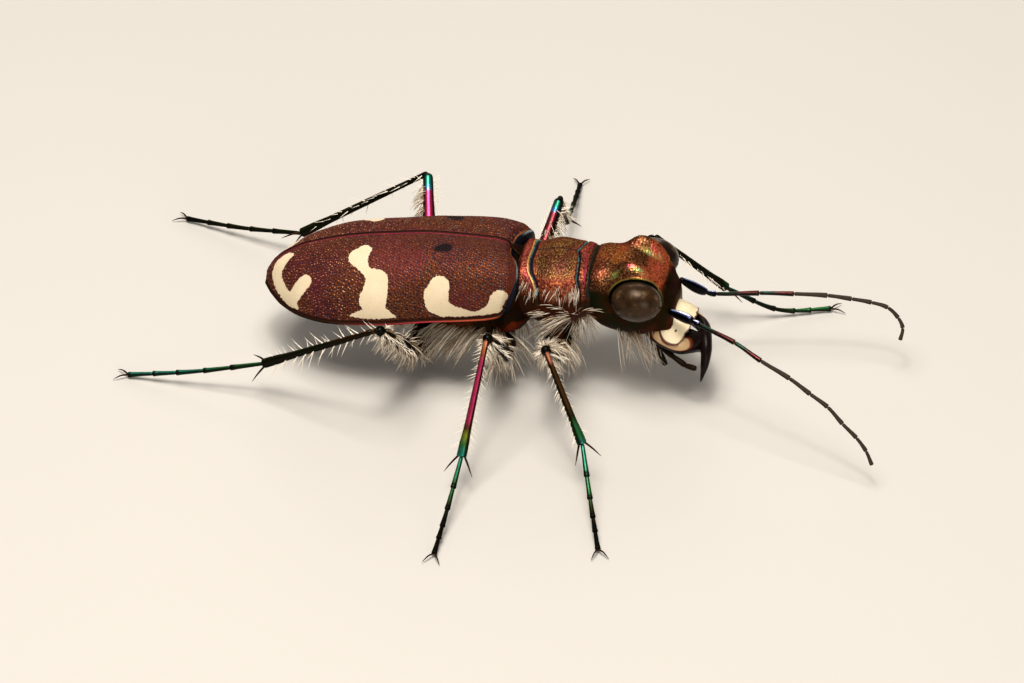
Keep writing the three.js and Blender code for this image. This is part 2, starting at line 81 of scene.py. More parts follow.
# The floor, the light and the camera.
# A pale matt floor, a broad soft light overhead with a small one beside it for the highlights, and a
# weaker one from each side. The long lens looks down on the beetle's right side.
PHOTO_WIDTH, PHOTO_HEIGHT = 1024, 683
PIXELS_PER_MM = 27.4
BODY_ORIGIN_PIXEL = (485.5, 360.0)
CAMERA_TURN, CAMERA_DROP, CAMERA_DISTANCE = math.radians(10.5), math.radians(37.0), 220.0
FLOOR_SIZE, FLOOR_DROP = 4.0, 0.00002
LIGHTS = [
    # name, place, width and power
    ("overhead", (-10, -30, 150), 0.09, 0.30),
    ("highlight", (0, -45, 150), 0.022, 0.075),
    ("far_side", (-30, 150, 80), 0.10, 0.09),
    ("near_side", (90, -150, 50), 0.08, 0.085),
]
LIGHT_COLOUR, ROOM_COLOUR, ROOM_LIGHT = (1.0, 0.94, 0.86), (1.0, 0.96, 0.90, 1), 0.14
FLOOR_COLOUR, FLOOR_ROUGHNESS = (0.53, 0.51, 0.48, 1), 0.9
SENSOR_WIDTH, NEAREST, FARTHEST = 36, 0.01, 10


def placed(points):
    return (np.asarray(points, float) + SHIFT) * MM


def make_stage():
    mesh = bpy.data.meshes.new("floor")
    half = FLOOR_SIZE / 2
    corners = [(-half, -half), (half, -half), (half, half), (-half, half)]
    mesh.from_pydata([(x, y, -FLOOR_DROP) for x, y in corners], [], [(0, 1, 2, 3)])
    floor = bpy.data.objects.new("floor", mesh)
    bpy.context.scene.collection.objects.link(floor)
    paint = bpy.data.materials.new("floor")
    paint.use_nodes = True
    surface = paint.node_tree.nodes["Principled BSDF"]
    surface.inputs["Base Color"].default_value = FLOOR_COLOUR
    surface.inputs["Roughness"].default_value = FLOOR_ROUGHNESS
    mesh.materials.append(paint)
    for name, place, size, power in LIGHTS:
        lamp = bpy.data.lights.new(name, "AREA")
        lamp.size = size
        lamp.energy = power
        lamp.color = LIGHT_COLOUR
        lamp_object = bpy.data.objects.new(name, lamp)
        lamp_object.location = Vector(place) * MM
        lamp_object.rotation_euler = (-lamp_object.location).to_track_quat("-Z", "Y").to_euler()
        bpy.context.scene.collection.objects.link(lamp_object)
    world = bpy.data.worlds.new("studio")
    world.use_nodes = True
    room = world.node_tree.nodes["Background"]
    room.inputs["Color"].default_value = ROOM_COLOUR
    room.inputs["Strength"].default_value = ROOM_LIGHT
    bpy.context.scene.world = world
    bpy.context.scene.view_settings.view_transform = "Standard"


def make_camera():
    turn, drop = CAMERA_TURN, CAMERA_DROP
    ahead = np.array([-math.sin(turn) * math.cos(drop), math.cos(turn) * math.cos(drop), -math.sin(drop)])
    right = np.array([math.cos(turn), math.sin(turn), 0])
    upward = np.cross(right, ahead)
    aside = (PHOTO_WIDTH / 2 - BODY_ORIGIN_PIXEL[0]) / PIXELS_PER_MM
    above = (BODY_ORIGIN_PIXEL[1] - PHOTO_HEIGHT / 2) / PIXELS_PER_MM
    camera = bpy.data.cameras.new("camera")
    camera.sensor_width = SENSOR_WIDTH
    camera.lens = SENSOR_WIDTH * CAMERA_DISTANCE * PIXELS_PER_MM / PHOTO_WIDTH
    camera.clip_start, camera.clip_end = NEAREST, FARTHEST
    camera_object = bpy.data.objects.new("camera", camera)
    place = placed(right * aside + upward * above - ahead * CAMERA_DISTANCE)
    columns = np.column_stack([right, upward, -ahead])
    camera_object.matrix_world = Matrix.Translation(Vector(place)) @ Matrix(columns.tolist()).to_4x4()
    bpy.context.scene.collection.objects.link(camera_object)
    bpy.context.scene.camera = camera_object


make_stage()
make_camera()


# The wing cases.
# Two arched shells of red-brown chitin that meet along the back, pitted all over, with ivory bands
# and a raised coppery rim. Each is lofted from the shoulder to the tip and its pits are pressed in.
ELYTRA = [
    # x, half width, ridge height, margin height, squareness
    (1.25, 1.98, 5.25, 3.55, 3.2), (1.00, 2.20, 5.50, 3.42, 3.0), (0.30, 2.38, 5.62, 3.35, 2.9),
    (-1.60, 2.55, 5.66, 3.20, 2.3), (-3.35, 2.70, 5.50, 3.02, 2.0), (-5.00, 2.60, 5.24, 2.85, 2.0),
    (-6.40, 2.10, 4.78, 2.75, 2.0), (-7.20, 1.50, 4.32, 2.78, 2.0), (-7.75, 0.88, 3.85, 2.90, 2.0),
    (-8.06, 0.38, 3.36, 2.98, 2.0),
]
CASE_SHELL, CASE_SEAM, CASE_RIM = 0.12, 0.015, 0.035
CASE_ROWS, CASE_ACROSS, CASE_WITHIN = 372, 156, 14
# How strongly the rows of the mesh crowd towards both ends
CASE_CROWDING = 0.35
# Front edge: share of the way down from the seam, and x
CASE_FRONT = [
    (0, 1.00), (0.10, 1.09), (0.20, 1.27), (0.35, 1.41), (0.50, 1.46), (0.65, 1.44), (0.80, 1.34),
    (0.90, 1.22), (1, 1.08),
]
FRONT_ROLL = {"rows": 12, "reach": 0.09, "drop": 0.24}
SEAM_DIP, SEAM_DIP_WIDTH = 0.18, 0.75
PIT_SPACING, PIT_DEPTH, PIT_RADIUS, PIT_JITTER = 0.116, 0.013, 0.031, 0.019
PIT_STRENGTHS, PIT_ROW_STEP = (0.6, 1.2), 0.866
# The raised lip ahead of each pit, and the glint on its upper wall, a painted highlight dot
PIT_LIP = {"ahead": 0.045, "radius": 0.028, "share": 0.6}
PIT_PAINTED_GLINT = {"behind": 0.012, "above": 0.03, "radius": 0.021, "evenness": 0.7}
# Ivory bands as strokes: x, distance up from the side edge, and half width
BANDS = [
    [(0.92, 0.80, 0.33), (0.86, 0.54, 0.31), (0.55, 0.40, 0.17), (0.15, 0.29, 0.085), (-0.23, 0.33, 0.13),
     (-0.65, 0.41, 0.22), (-1.03, 0.53, 0.33), (-1.30, 0.73, 0.41), (-1.31, 1.02, 0.46),
     (-1.22, 1.37, 0.38)],
    [(-4.17, 2.87, 0.27), (-4.33, 2.58, 0.39), (-4.14, 2.23, 0.22), (-3.97, 2.02, 0.16),
     (-3.51, 1.68, 0.40), (-3.54, 1.31, 0.45), (-3.63, 0.94, 0.51), (-3.55, 0.68, 0.42),
     (-3.51, 0.52, 0.26)],
    [(-4.42, 0.37, 0.04), (-4.02, 0.42, 0.16), (-3.51, 0.45, 0.21), (-3.12, 0.43, 0.18),
     (-2.78, 0.30, 0.04)],
    [(-7.07, 2.04, 0.15), (-7.26, 1.80, 0.27), (-7.45, 1.39, 0.34), (-7.54, 1.00, 0.31),
     (-7.46, 0.76, 0.28), (-7.28, 0.60, 0.26), (-7.06, 0.47, 0.26), (-6.79, 0.42, 0.27),
     (-6.54, 0.27, 0.07)],
    [(-6.77, 0.48, 0.25), (-6.61, 0.80, 0.26), (-6.40, 1.18, 0.27), (-6.26, 1.35, 0.26)],
]
VELVET_SPOT = [(-1.45, 2.86, 0.15), (-1.18, 2.93, 0.23)]
# A band's edge runs partly round whole pits, and the pits fade where the colour turns to ivory
PITTED_EDGE, BAND_EDGE, IVORY_SMOOTHING = 0.38, 0.04, 0.75
# Colours from one end of a cloud, a painted glint's chance or the wing case's length to the other
CASE_GROUND = [(0.30, (0.088, 0.026, 0.006)), (0.50, (0.084, 0.020, 0.008)), (0.70, (0.070, 0.014, 0.014))]
# Painted highlights: the colours of the glints beside the pits, near the front and near the back
PAINTED_GLINTS_AHEAD = [
    (0.0, (0.07, 0.15, 0.15)), (0.30, (0.22, 0.22, 0.21)), (0.50, (0.55, 0.22, 0.05)),
    (0.75, (0.46, 0.12, 0.06)), (1.0, (0.11, 0.22, 0.12)),
]
PAINTED_GLINTS_BEHIND = [
    (0.0, (1.00, 0.58, 0.28)), (0.4, (0.90, 0.38, 0.19)), (0.7, (0.62, 0.18, 0.17)),
    (1.0, (0.28, 0.22, 0.22)),
]
RIM_METALS = [
    (0.25, (0.010, 0.008, 0.006)), (0.36, (0.16, 0.018, 0.012)), (0.62, (0.42, 0.035, 0.050)),
    (0.86, (0.50, 0.10, 0.045)), (0.95, (0.30, 0.06, 0.02)), (0.99, (0.01, 0.012, 0.018)),
]
CASE_COLOURS = {
    "grain": (0.17, 0.050, 0.026), "pit": (0.010, 0.011, 0.020), "rose": (0.16, 0.018, 0.035),
    "velvet": (0.007, 0.008, 0.009), "ivory": (0.61, 0.49, 0.32), "light ivory": (0.70, 0.59, 0.42),
    "ivory pit": (0.32, 0.22, 0.12), "border": (0.022, 0.008, 0.005), "seam": (0.010, 0.007, 0.004),
    "seam line": (0.26, 0.022, 0.05), "shoulder": (0.42, 0.13, 0.035),
    "rolled edge": (0.008, 0.010, 0.016), "painted sheen": (0.42, 0.50, 0.52),
}


def smooth(stations, column, x):
    """Value between stations along x, smooth and with no overshoot."""
    table = np.array(sorted(stations))
    at, value = table[:, 0], table[:, column]
    slope = np.diff(value) / np.diff(at)
    tangent = np.concatenate([[slope[0]], np.zeros(len(slope) - 1), [slope[-1]]])
    before, after = slope[:-1], slope[1:]
    same = before * after > 0
    tangent[1:-1][same] = (2 * before * after)[same] / (before + after)[same]
    x = np.asarray(x, float)
    i = np.clip(np.searchsorted(at, x) - 1, 0, len(at) - 2)
    span = at[i + 1] - at[i]
    t = np.clip((x - at[i]) / span, 0, 1)
    return (value[i] * (2 * t**3 - 3 * t**2 + 1) + tangent[i] * span * (t**3 - 2 * t**2 + t)
            + value[i + 1] * (3 * t**2 - 2 * t**3) + tangent[i + 1] * span * (t**3 - t**2))


def hump(value, middle, width):
    return np.exp(-(((value - middle) / width) ** 2))


def shell(rings, **values):
    """A closed skin through rings of points, with named values kept on its points."""
    rings = np.asarray(rings, float)
    count, sides = rings.shape[:2]
    points = np.vstack([rings.reshape(-1, 3), rings[0].mean(0), rings[-1].mean(0)])
    row, column = np.meshgrid(np.arange(count - 1), np.arange(sides), indexing="ij")
    here, beside = (row * sides + column).ravel(), (row * sides + (column + 1) % sides).ravel()
    quads = np.column_stack([here, beside, beside + sides, here + sides])
    edge, last = np.arange(sides), (count - 1) * sides
    fans = [(count * sides, (k + 1) % sides, k) for k in edge]
    fans += [(count * sides + 1, last + k, last + (k + 1) % sides) for k in edge]
    corners = points[quads] - points.mean(0)
    volume = sum(np.sum(np.cross(corners[:, 0], corners[:, k]) * corners[:, k + 1]) for k in (1, 2))
    faces = [tuple(face) for face in quads.tolist()] + fans
    if volume < 0:
        faces = [face[::-1] for face in faces]
    flat = {}
    for label, value in values.items():
        grid = np.broadcast_to(value, (count, sides))
        flat[label] = np.concatenate([grid.ravel(), [grid[0].mean(), grid[-1].mean()]])
    return points, faces, flat


def fitted(name, mesh, nodes=()):
    """A finished mesh on the beetle's one body, with the nodes that it takes over."""
    made = bpy.data.objects.new(name, mesh)
    bpy.context.scene.collection.objects.link(made)
    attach(made, "root")
    if nodes:
        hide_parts(*nodes)


def joined(name, shells, material, nodes):
    """One piece made of closed skins, in the frame and in one finish."""
    points, faces, start = [], [], 0
    for skin, skin_faces, _ in shells:
        points.append(skin)
        faces += [tuple(corner + start for corner in face) for face in skin_faces]
        start += len(skin)
    mesh = bpy.data.meshes.new(name)
    mesh.from_pydata(placed(np.vstack(points)).tolist(), [], faces)
    mesh.polygons.foreach_set("use_smooth", [True] * len(faces))
    mesh.materials.append(material)
    for label in shells[0][2]:
        value = np.concatenate([values[label] for _, _, values in shells]).astype(np.float32)
        mesh.attributes.new(label, "FLOAT", "POINT").data.foreach_set("value", value)
    fitted(name, mesh, nodes)


def outward(rings):
    """Unit normals of rings of points that close on themselves."""
    around = np.roll(rings, -1, 1) - np.roll(rings, 1, 1)
    normal = np.cross(np.gradient(rings, axis=0), around)
    normal /= np.maximum(np.linalg.norm(normal, axis=2, keepdims=True), 1e-9)
    return normal * np.sign(np.sum(normal * (rings - rings.mean(1, keepdims=True))))


def nearest(points, seeds):
    """For each point, which seed is nearest and how far away it is."""
    tree = KDTree(len(seeds))
    for number, seed in enumerate(seeds):
        tree.insert(seed, number)
    tree.balance()
    found = [tree.find(point) for point in points]
    return np.array([f[1] for f in found]), np.array([f[2] for f in found])


def stroke_depth(points, stroke):
    """How deep each point lies inside a stroke of changing width, negative outside it."""
    depth = np.full(len(points), -1e3)
    for (a, wide_a), (b, wide_b) in zip(stroke[:-1], stroke[1:]):
        run = b - a
        t = np.clip(((points - a) @ run) / max(run @ run, 1e-9), 0, 1)
        away = np.linalg.norm(points - a - t[:, None] * run, axis=1)
        depth = np.maximum(depth, wide_a + (wide_b - wide_a) * t - away)
    return depth


def case_section(x, share, inset=0.0):
    """A point of the wing case's section at x, share running from the seam to the side edge."""
    half, ridge, margin, square = [smooth(ELYTRA, column, x) for column in (1, 2, 3, 4)]
    wide = np.maximum(half - CASE_SEAM - inset, 0.04)
    high = np.maximum(ridge - margin - inset, 0.04)
    y = CASE_SEAM + wide * np.sin(share * math.pi / 2) ** (2 / square)
    z = margin + high * np.cos(share * math.pi / 2) ** (2 / square)
    z = z - SEAM_DIP * np.exp(-((y / SEAM_DIP_WIDTH) ** 2)) * np.clip((x + 8.0) / 2.5, 0, 1)
    front = np.interp(share, *np.transpose(CASE_FRONT)) - ELYTRA[0][0]
    return np.stack([x + front * np.clip((x - 0.1) / 1.15, 0, 1) ** 2, y, z], -1)


def run_through(points):
    """Distance along a line of points, from its first one."""
    return np.concatenate([[0], np.cumsum(np.linalg.norm(np.diff(points, axis=0), axis=1))])


def case_outline(x, count):
    """Shares that cut one section into even lengths, and the section's whole length."""
    fine = np.linspace(0, 1, 160)
    line = case_section(np.full_like(fine, x), fine)
    run = run_through(line)
    return np.interp(np.linspace(0, run[-1], count), run, fine), run[-1]


def case_point(x, up):
    """The point of the wing case that lies up from the side edge at x."""
    shares, length = case_outline(x, 160)
    share = np.interp(max(length - up, 0) / length, np.linspace(0, 1, 160), shares)
    return case_section(x, np.array(share))


def case_rows():
    """Where the wing case is cut across, and how far its rolled front edge drops there."""
    first, last = ELYTRA[0][0], ELYTRA[-1][0]
    along = np.linspace(0, 1, CASE_ROWS - FRONT_ROLL["rows"])
    along = CASE_CROWDING * (1 - np.cos(along * math.pi)) / 2 + (1 - CASE_CROWDING) * along
    rolled = np.linspace(math.pi / 2, 0, FRONT_ROLL["rows"], endpoint=False)
    xs = np.concatenate([first + FRONT_ROLL["reach"] * np.sin(rolled), first + (last - first) * along])
    return xs, np.concatenate([FRONT_ROLL["drop"] * (1 - np.cos(rolled)), 0 * along])


def pit_seeds(xs, lengths, rng):
    """Middles of the pits in uneven rows, as x and the way down from the seam, and their strengths."""
    seeds, strengths = [], []
    rows = np.arange(ELYTRA[0][0] - 0.08, ELYTRA[-1][0] + 0.05, -PIT_SPACING * PIT_ROW_STEP)
    for step, x in enumerate(rows):
        length = float(np.interp(-x, -xs, lengths))
        for up in np.arange(0.10 + (step % 2) * PIT_SPACING / 2, length - 0.05, PIT_SPACING):
            dx, dy = rng.normal(0, PIT_JITTER, 2)
            seeds.append((x + dx, length - up + dy, 0))
            strengths.append(rng.uniform(*PIT_STRENGTHS))
    return np.array(seeds), np.array(strengths)


def round_dot(offset, x, y, radius):
    return np.exp(-((offset[:, 0] - x) ** 2 + (offset[:, 1] - y) ** 2) / radius**2)


def on_case(stroke):
    return [(case_point(x, up), wide) for x, up, wide in stroke]


def make_case(side):
    xs, drops = case_rows()
    cuts = [case_outline(x, CASE_ACROSS) for x in xs]
    outer = np.array([case_section(np.full(CASE_ACROSS, x), shares) - (0, 0, drop)
                      for x, drop, (shares, _) in zip(xs, drops, cuts)])
    span = np.array([[length] for _, length in cuts])
    from_seam = np.array([np.linspace(0, length, CASE_ACROSS) for _, length in cuts]).ravel()
    from_edge = np.repeat(span[:, 0], CASE_ACROSS) - from_seam
    flat = outer.reshape(-1, 3)

    down = np.cross(np.gradient(outer, axis=0), np.gradient(outer, axis=1))
    normal = -down / np.maximum(np.linalg.norm(down, axis=2, keepdims=True), 1e-9)
    if normal[:, :, 2].mean() < 0:
        normal = -normal

    rng = np.random.default_rng(11)
    seeds, strengths = pit_seeds(xs, span[:, 0], rng)
    where = np.column_stack([flat[:, 0], from_seam, np.zeros(len(flat))])
    which, away = nearest(where, seeds)
    offset = where - seeds[which]
    pit = np.exp(-(away / PIT_RADIUS) ** 2) * strengths[which]
    lip = round_dot(offset, PIT_LIP["ahead"], 0, PIT_LIP["radius"]) * strengths[which]
    # Painted highlight: a glint dot on each pit's upper wall, of random strength and hue
    glint = round_dot(offset, -PIT_PAINTED_GLINT["behind"], PIT_PAINTED_GLINT["above"], PIT_PAINTED_GLINT["radius"])
    glint *= (rng.uniform(0, 1, len(seeds)) ** PIT_PAINTED_GLINT["evenness"])[which]
    hue = rng.uniform(0, 1, len(seeds))[which]

    nearby = [np.argmin((where[:, 0] - s[0]) ** 2 + (where[:, 1] - s[1]) ** 2) for s in seeds]
    strokes = [on_case(band) for band in BANDS]
    smooth_ivory = np.max([stroke_depth(flat, stroke) for stroke in strokes], axis=0)
    seed_ivory = np.max([stroke_depth(flat[nearby], stroke) for stroke in strokes], axis=0)
    ivory = (1 - PITTED_EDGE) * smooth_ivory + PITTED_EDGE * seed_ivory[which]
    spot = stroke_depth(flat, on_case(VELVET_SPOT))

    pressed = np.clip((from_edge - 0.14) / 0.08, 0, 1) * np.clip((from_seam - 0.05) / 0.05, 0, 1)
    pale = np.clip(ivory / BAND_EDGE + 0.5, 0, 1)
    relief = PIT_DEPTH * (PIT_LIP["share"] * lip - pit) * pressed * (1 - IVORY_SMOOTHING * pale)
    relief += CASE_RIM * hump(from_edge, 0.03, 0.045)
    relief -= 0.03 * hump(from_edge, 0.12, 0.05)
    relief += 0.02 * hump(from_seam, 0.07, 0.035)
    outer = outer + normal * relief.reshape(CASE_ROWS, CASE_ACROSS, 1)
    shares = np.linspace(1, 0, CASE_WITHIN)
    inner = np.array([case_section(np.full(CASE_WITHIN, x), shares, CASE_SHELL) - (0, 0, drop)
                      for x, drop in zip(xs, drops)])
    values = {"ivory": (ivory, -1), "spot": (spot, -1), "pit": (pit, 0), "glint": (glint * pressed, 0),
              "hue": (hue, 0), "from_edge": (from_edge, 1), "from_seam": (from_seam, 1)}
    for label, (value, within) in values.items():
        lining = np.full((CASE_ROWS, CASE_WITHIN), within)
        values[label] = np.concatenate([value.reshape(CASE_ROWS, CASE_ACROSS), lining], axis=1)
    rings = np.concatenate([outer, inner], axis=1)
    return shell(hold(mirrored(rings, side)), front=(xs - ELYTRA[0][0])[:, None], **values)


class Wire:
    """A shader socket; sums and products of wires add their Math nodes."""

    def __init__(self, finish, socket):
        self.finish, self.socket = finish, socket

    def sum_up(self, operation, first, second):
        return self.finish.node("ShaderNodeMath", {"operation": operation}, {0: first, 1: second})

    def __add__(self, other):
        return self.sum_up("ADD", self, other)

    __radd__ = __add__

    def __mul__(self, other):
        return self.sum_up("MULTIPLY", self, other)

    __rmul__ = __mul__

    def __sub__(self, other):
        return self.sum_up("SUBTRACT", self, other)

    def __rsub__(self, other):
        return self.sum_up("SUBTRACT", other, self)

    def clamped(self):
        return self.finish.node("ShaderNodeClamp", {}, {0: self})

    def step(self, low, high):
        """0 at low, 1 at high, smooth between them, and low may be the larger."""
        settings = {"interpolation_type": "SMOOTHSTEP"}
        return self.finish.node("ShaderNodeMapRange", settings, {0: self, 1: low, 2: high})

    def band(self, low, rise, fall, high):
        """1 from rise to fall, and 0 below low and above high."""
        return self.step(low, rise) * self.step(high, fall)


class Finish:
    """A surface finish: a Principled shader with what feeds it."""

    def __init__(self, name, **constants):
        self.material = bpy.data.materials.new(name)
        self.material.use_nodes = True
        self.tree = self.material.node_tree
        self.shader = self.tree.nodes["Principled BSDF"]
        for socket, value in constants.items():
            self.shader.inputs[socket.replace("_", " ")].default_value = value

    def node(self, kind, settings=None, inputs=None, output=0):
        made = self.tree.nodes.new(kind)
        for name, value in (settings or {}).items():
            if name == "stops":
                ramp = made.color_ramp
                while len(ramp.elements) < len(value):
                    ramp.elements.new(1.0)
                for element, (place, colour) in zip(ramp.elements, value):
                    element.position, element.color = place, (*colour, 1)
            else:
                setattr(made, name, value)
        for name, value in (inputs or {}).items():
            self.join(value, made.inputs[name])
        return Wire(self, made.outputs[output])

    def join(self, value, socket):
        if isinstance(value, Wire):
            self.tree.links.new(value.socket, socket)
        elif socket.type == "RGBA":
            socket.default_value = (*value, 1)
        else:
            socket.default_value = value

    def value(self, name):
        return self.node("ShaderNodeAttribute", {"attribute_name": name}, output="Fac")

    def place(self):
        return self.node("ShaderNodeTexCoord", output="Object")

    def noise(self, size, detail=3.0):
        """Cloudy noise whose patches are about size millimetres across."""
        inputs = {"Vector": self.place(), "Scale": 1 / (size * MM), "Detail": detail}
        return self.node("ShaderNodeTexNoise", {}, inputs, "Fac")

    def clouds(self, size, detail, stops):
        """Colours that follow cloudy noise."""
        return self.ramp(self.noise(size, detail), stops)

    def cells(self, size):
        inputs = {"Vector": self.place(), "Scale": 1 / (size * MM)}
        return self.node("ShaderNodeTexVoronoi", {}, inputs, "Distance")

    def ramp(self, factor, stops):
        return self.node("ShaderNodeValToRGB", {"stops": stops}, {0: factor})

    def mix(self, first, second, factor):
        inputs = {0: factor, 6: first, 7: second}
        return self.node("ShaderNodeMix", {"data_type": "RGBA"}, inputs, 2)

    def coats(self, base, *layers):
        """Colours laid over a base, each with how much of it shows."""
        for colour, cover in layers:
            base = self.mix(base, colour, cover)
        return base

    def bump(self, height, depth, strength=1.0):
        """Relief whose full height is depth millimetres."""
        inputs = {"Height": height, "Distance": depth * MM, "Strength": strength}
        return self.node("ShaderNodeBump", {}, inputs)

    def feed(self, **links):
        for socket, value in links.items():
            self.join(value, self.shader.inputs[socket.replace("_", " ")])
        return self.material


def case_finish():
    finish = Finish("wing_case_chitin", Specular_IOR_Level=0.03, Specular_Tint=(0.42, 0.27, 0.16, 1))
    edge, seam, pit = finish.value("from_edge"), finish.value("from_seam"), finish.value("pit")
    front, hue, paint = finish.value("front"), finish.value("hue"), CASE_COLOURS
    # Painted glints: highlight colours beside the pits, by hue and from front to back
    painted_glints = finish.coats(
        finish.ramp(hue, PAINTED_GLINTS_AHEAD),
        (finish.ramp(hue, PAINTED_GLINTS_BEHIND), front.step(-3.4, -6.2)))
    ground = finish.coats(
        finish.clouds(1.5, 2.0, CASE_GROUND),
        (paint["grain"], finish.noise(0.05, 2.0).step(0.48, 0.66) * 0.7),
        # Darker in the pits: partly their own blue-black, partly painted shade in the hollows
        (paint["pit"], pit.step(0.08, 0.50) * 0.94),
        (painted_glints, finish.value("glint").step(0.15, 0.60) * 0.80),
        (paint["rose"], finish.noise(2.2, 1.0).step(0.50, 0.66) * 0.22),
        (paint["velvet"], finish.value("spot").step(-0.06, 0.05) * 0.93))
    ivory = finish.coats(
        paint["ivory"],
        (paint["light ivory"], finish.noise(0.5, 2.0)),
        # Darker in the pits of the ivory bands: partly their own brown, partly painted shade in the hollows
        (paint["ivory pit"], pit.step(0.55, 1.0) * 0.45))
    pale = (finish.value("ivory") + (finish.noise(0.07, 2.0) - 0.5) * 0.05).step(-0.008, 0.012)
    surface = finish.coats(
        ground,
        (ivory, pale),
        (paint["border"], edge.step(0.17, 0.12)),
        (finish.ramp((front * 0.12 + 1.0).clamped(), RIM_METALS), edge.step(0.065, 0.045)),
        # Dark along the seam: painted shadow in the gap between the wing cases, over their own dark brown
        (paint["seam"], seam.step(0.085, 0.06) * 0.95),
        (paint["seam line"], seam.band(0.07, 0.085, 0.095, 0.12) * 0.8),
        (paint["shoulder"], front.step(-0.05, -0.03) * edge.step(1.8, 2.6) * 0.6),
        (paint["rolled edge"], front.step(-0.010, 0.015)),
        # Painted highlight: a pale sheen band on the rolled front edge
        (paint["painted sheen"], front.band(0.012, 0.03, 0.055, 0.075) * edge.band(1.2, 1.7, 2.0, 2.5) * 0.6))
    return finish.feed(Base_Color=surface, Metallic=(1 - pale) * 0.40,
                       Roughness=0.56 - front.step(0.0, 0.03) * 0.30,
                       Normal=finish.bump(finish.cells(0.045) + pit * -0.6, 0.006, 0.30))


case_material = case_finish()
for side_name, side in SIDES.items():
    joined(f"wing_case_{side_name}", [make_case(side)], case_material,
           [f"elytron_{side_name}"])


# The prothorax.
# One hard ring of coppery chitin with a wrinkled disc on its back, between two bright-edged cross
# grooves that a fine middle line joins. It is lofted, and the grooves and wrinkles are pressed in.
PROTHORAX = [
    # x, half width, back height, height where widest, belly height
    (1.37, 1.38, 4.96, 3.95, 2.80), (1.54, 1.55, 5.12, 3.95, 2.60), (1.98, 1.60, 5.08, 3.92, 2.50),
    (2.75, 1.78, 5.24, 3.85, 2.35), (3.40, 1.70, 5.17, 3.92, 2.55), (3.60, 1.66, 5.18, 3.95, 2.70),
    (3.84, 1.60, 5.14, 3.97, 2.85), (4.10, 1.46, 5.05, 3.97, 2.95),
]
TRUNK_SQUARE = 2.3
# Grooves: degrees round from the back, and x
HIND_GROOVE = [(0, 1.86), (21, 1.83), (40, 1.88), (62, 2.12), (82, 2.22), (180, 2.22)]
FORE_GROOVE = [(0, 3.44), (17, 3.58), (40, 3.61), (52, 3.62), (65, 3.70), (82, 3.74), (180, 3.74)]
GROOVE_DEPTH, GROOVE_WIDTH, MIDDLE_LINE_DEPTH = 0.07, 0.055, 0.03
WRINKLE_SIZE, WRINKLE_DEPTH, SWELL_SIZE, SWELL_DEPTH = 0.085, 0.014, 0.5, 0.02
SIDE_RIDGE = {"degrees": 88, "wide": 3.0, "high": 0.035}
COLLAR_X, COLLAR_WIDTH, COLLAR_DEPTH = 3.97, 0.03, 0.03
DISC_GRAIN = [(0.38, (0.020, 0.008, 0.004)), (0.52, (0.095, 0.038, 0.013)), (0.66, (0.34, 0.19, 0.070))]
FLANK_GRAIN = [(0.35, (0.05, 0.010, 0.006)), (0.52, (0.20, 0.040, 0.024)), (0.68, (0.34, 0.12, 0.035))]
MARGIN_GRAIN = [(0.38, (0.03, 0.008, 0.005)), (0.52, (0.15, 0.035, 0.016)), (0.64, (0.36, 0.10, 0.05))]
BELLY_CLOUDS = [(0.35, (0.050, 0.008, 0.004)), (0.6, (0.030, 0.010, 0.004)), (0.75, (0.010, 0.016, 0.008))]
PRONOTUM_COLOURS = {
    "dusky rose": (0.10, 0.020, 0.020), "stripe": (0.28, 0.020, 0.07), "rose": (0.34, 0.045, 0.08),
    "gold": (0.62, 0.32, 0.10), "cyan": (0.08, 0.42, 0.44), "groove": (0.006, 0.012, 0.022),
    "collar": (0.016, 0.018, 0.014),
}


def power(value, exponent):
    return np.sign(value) * np.abs(value) ** exponent


def skin_point(stations, x, turn, square=TRUNK_SQUARE):
    """The point of a part of the trunk at x and at a turn from the back."""
    half, top, widest, keel = [smooth(stations, column, x) for column in (1, 2, 3, 4)]
    rise = power(np.cos(turn), 2 / square)
    y = half * power(np.sin(turn), 2 / square)
    z = widest + rise * np.where(rise > 0, top - widest, widest - keel)
    return np.stack([x, y, z], -1)


def trunk_rings(stations, rows, sides, square=TRUNK_SQUARE):
    """Rings of points round a part of the trunk, and each point's turn from the back."""
    along = np.linspace(stations[0][0], stations[-1][0], rows)
    x, turn = np.meshgrid(along, np.linspace(-math.pi, math.pi, sides, endpoint=False), indexing="ij")
    return skin_point(stations, x, turn, square), turn


def clouds(points, size, seed=0):
    """Smooth noise from -1 to 1 at each point, in patches of about this size."""
    flat = points.reshape(-1, 3) / size + (seed * 7.3, seed * 3.1, seed)
    return np.array([noise.noise(point) for point in flat]).reshape(points.shape[:-1])


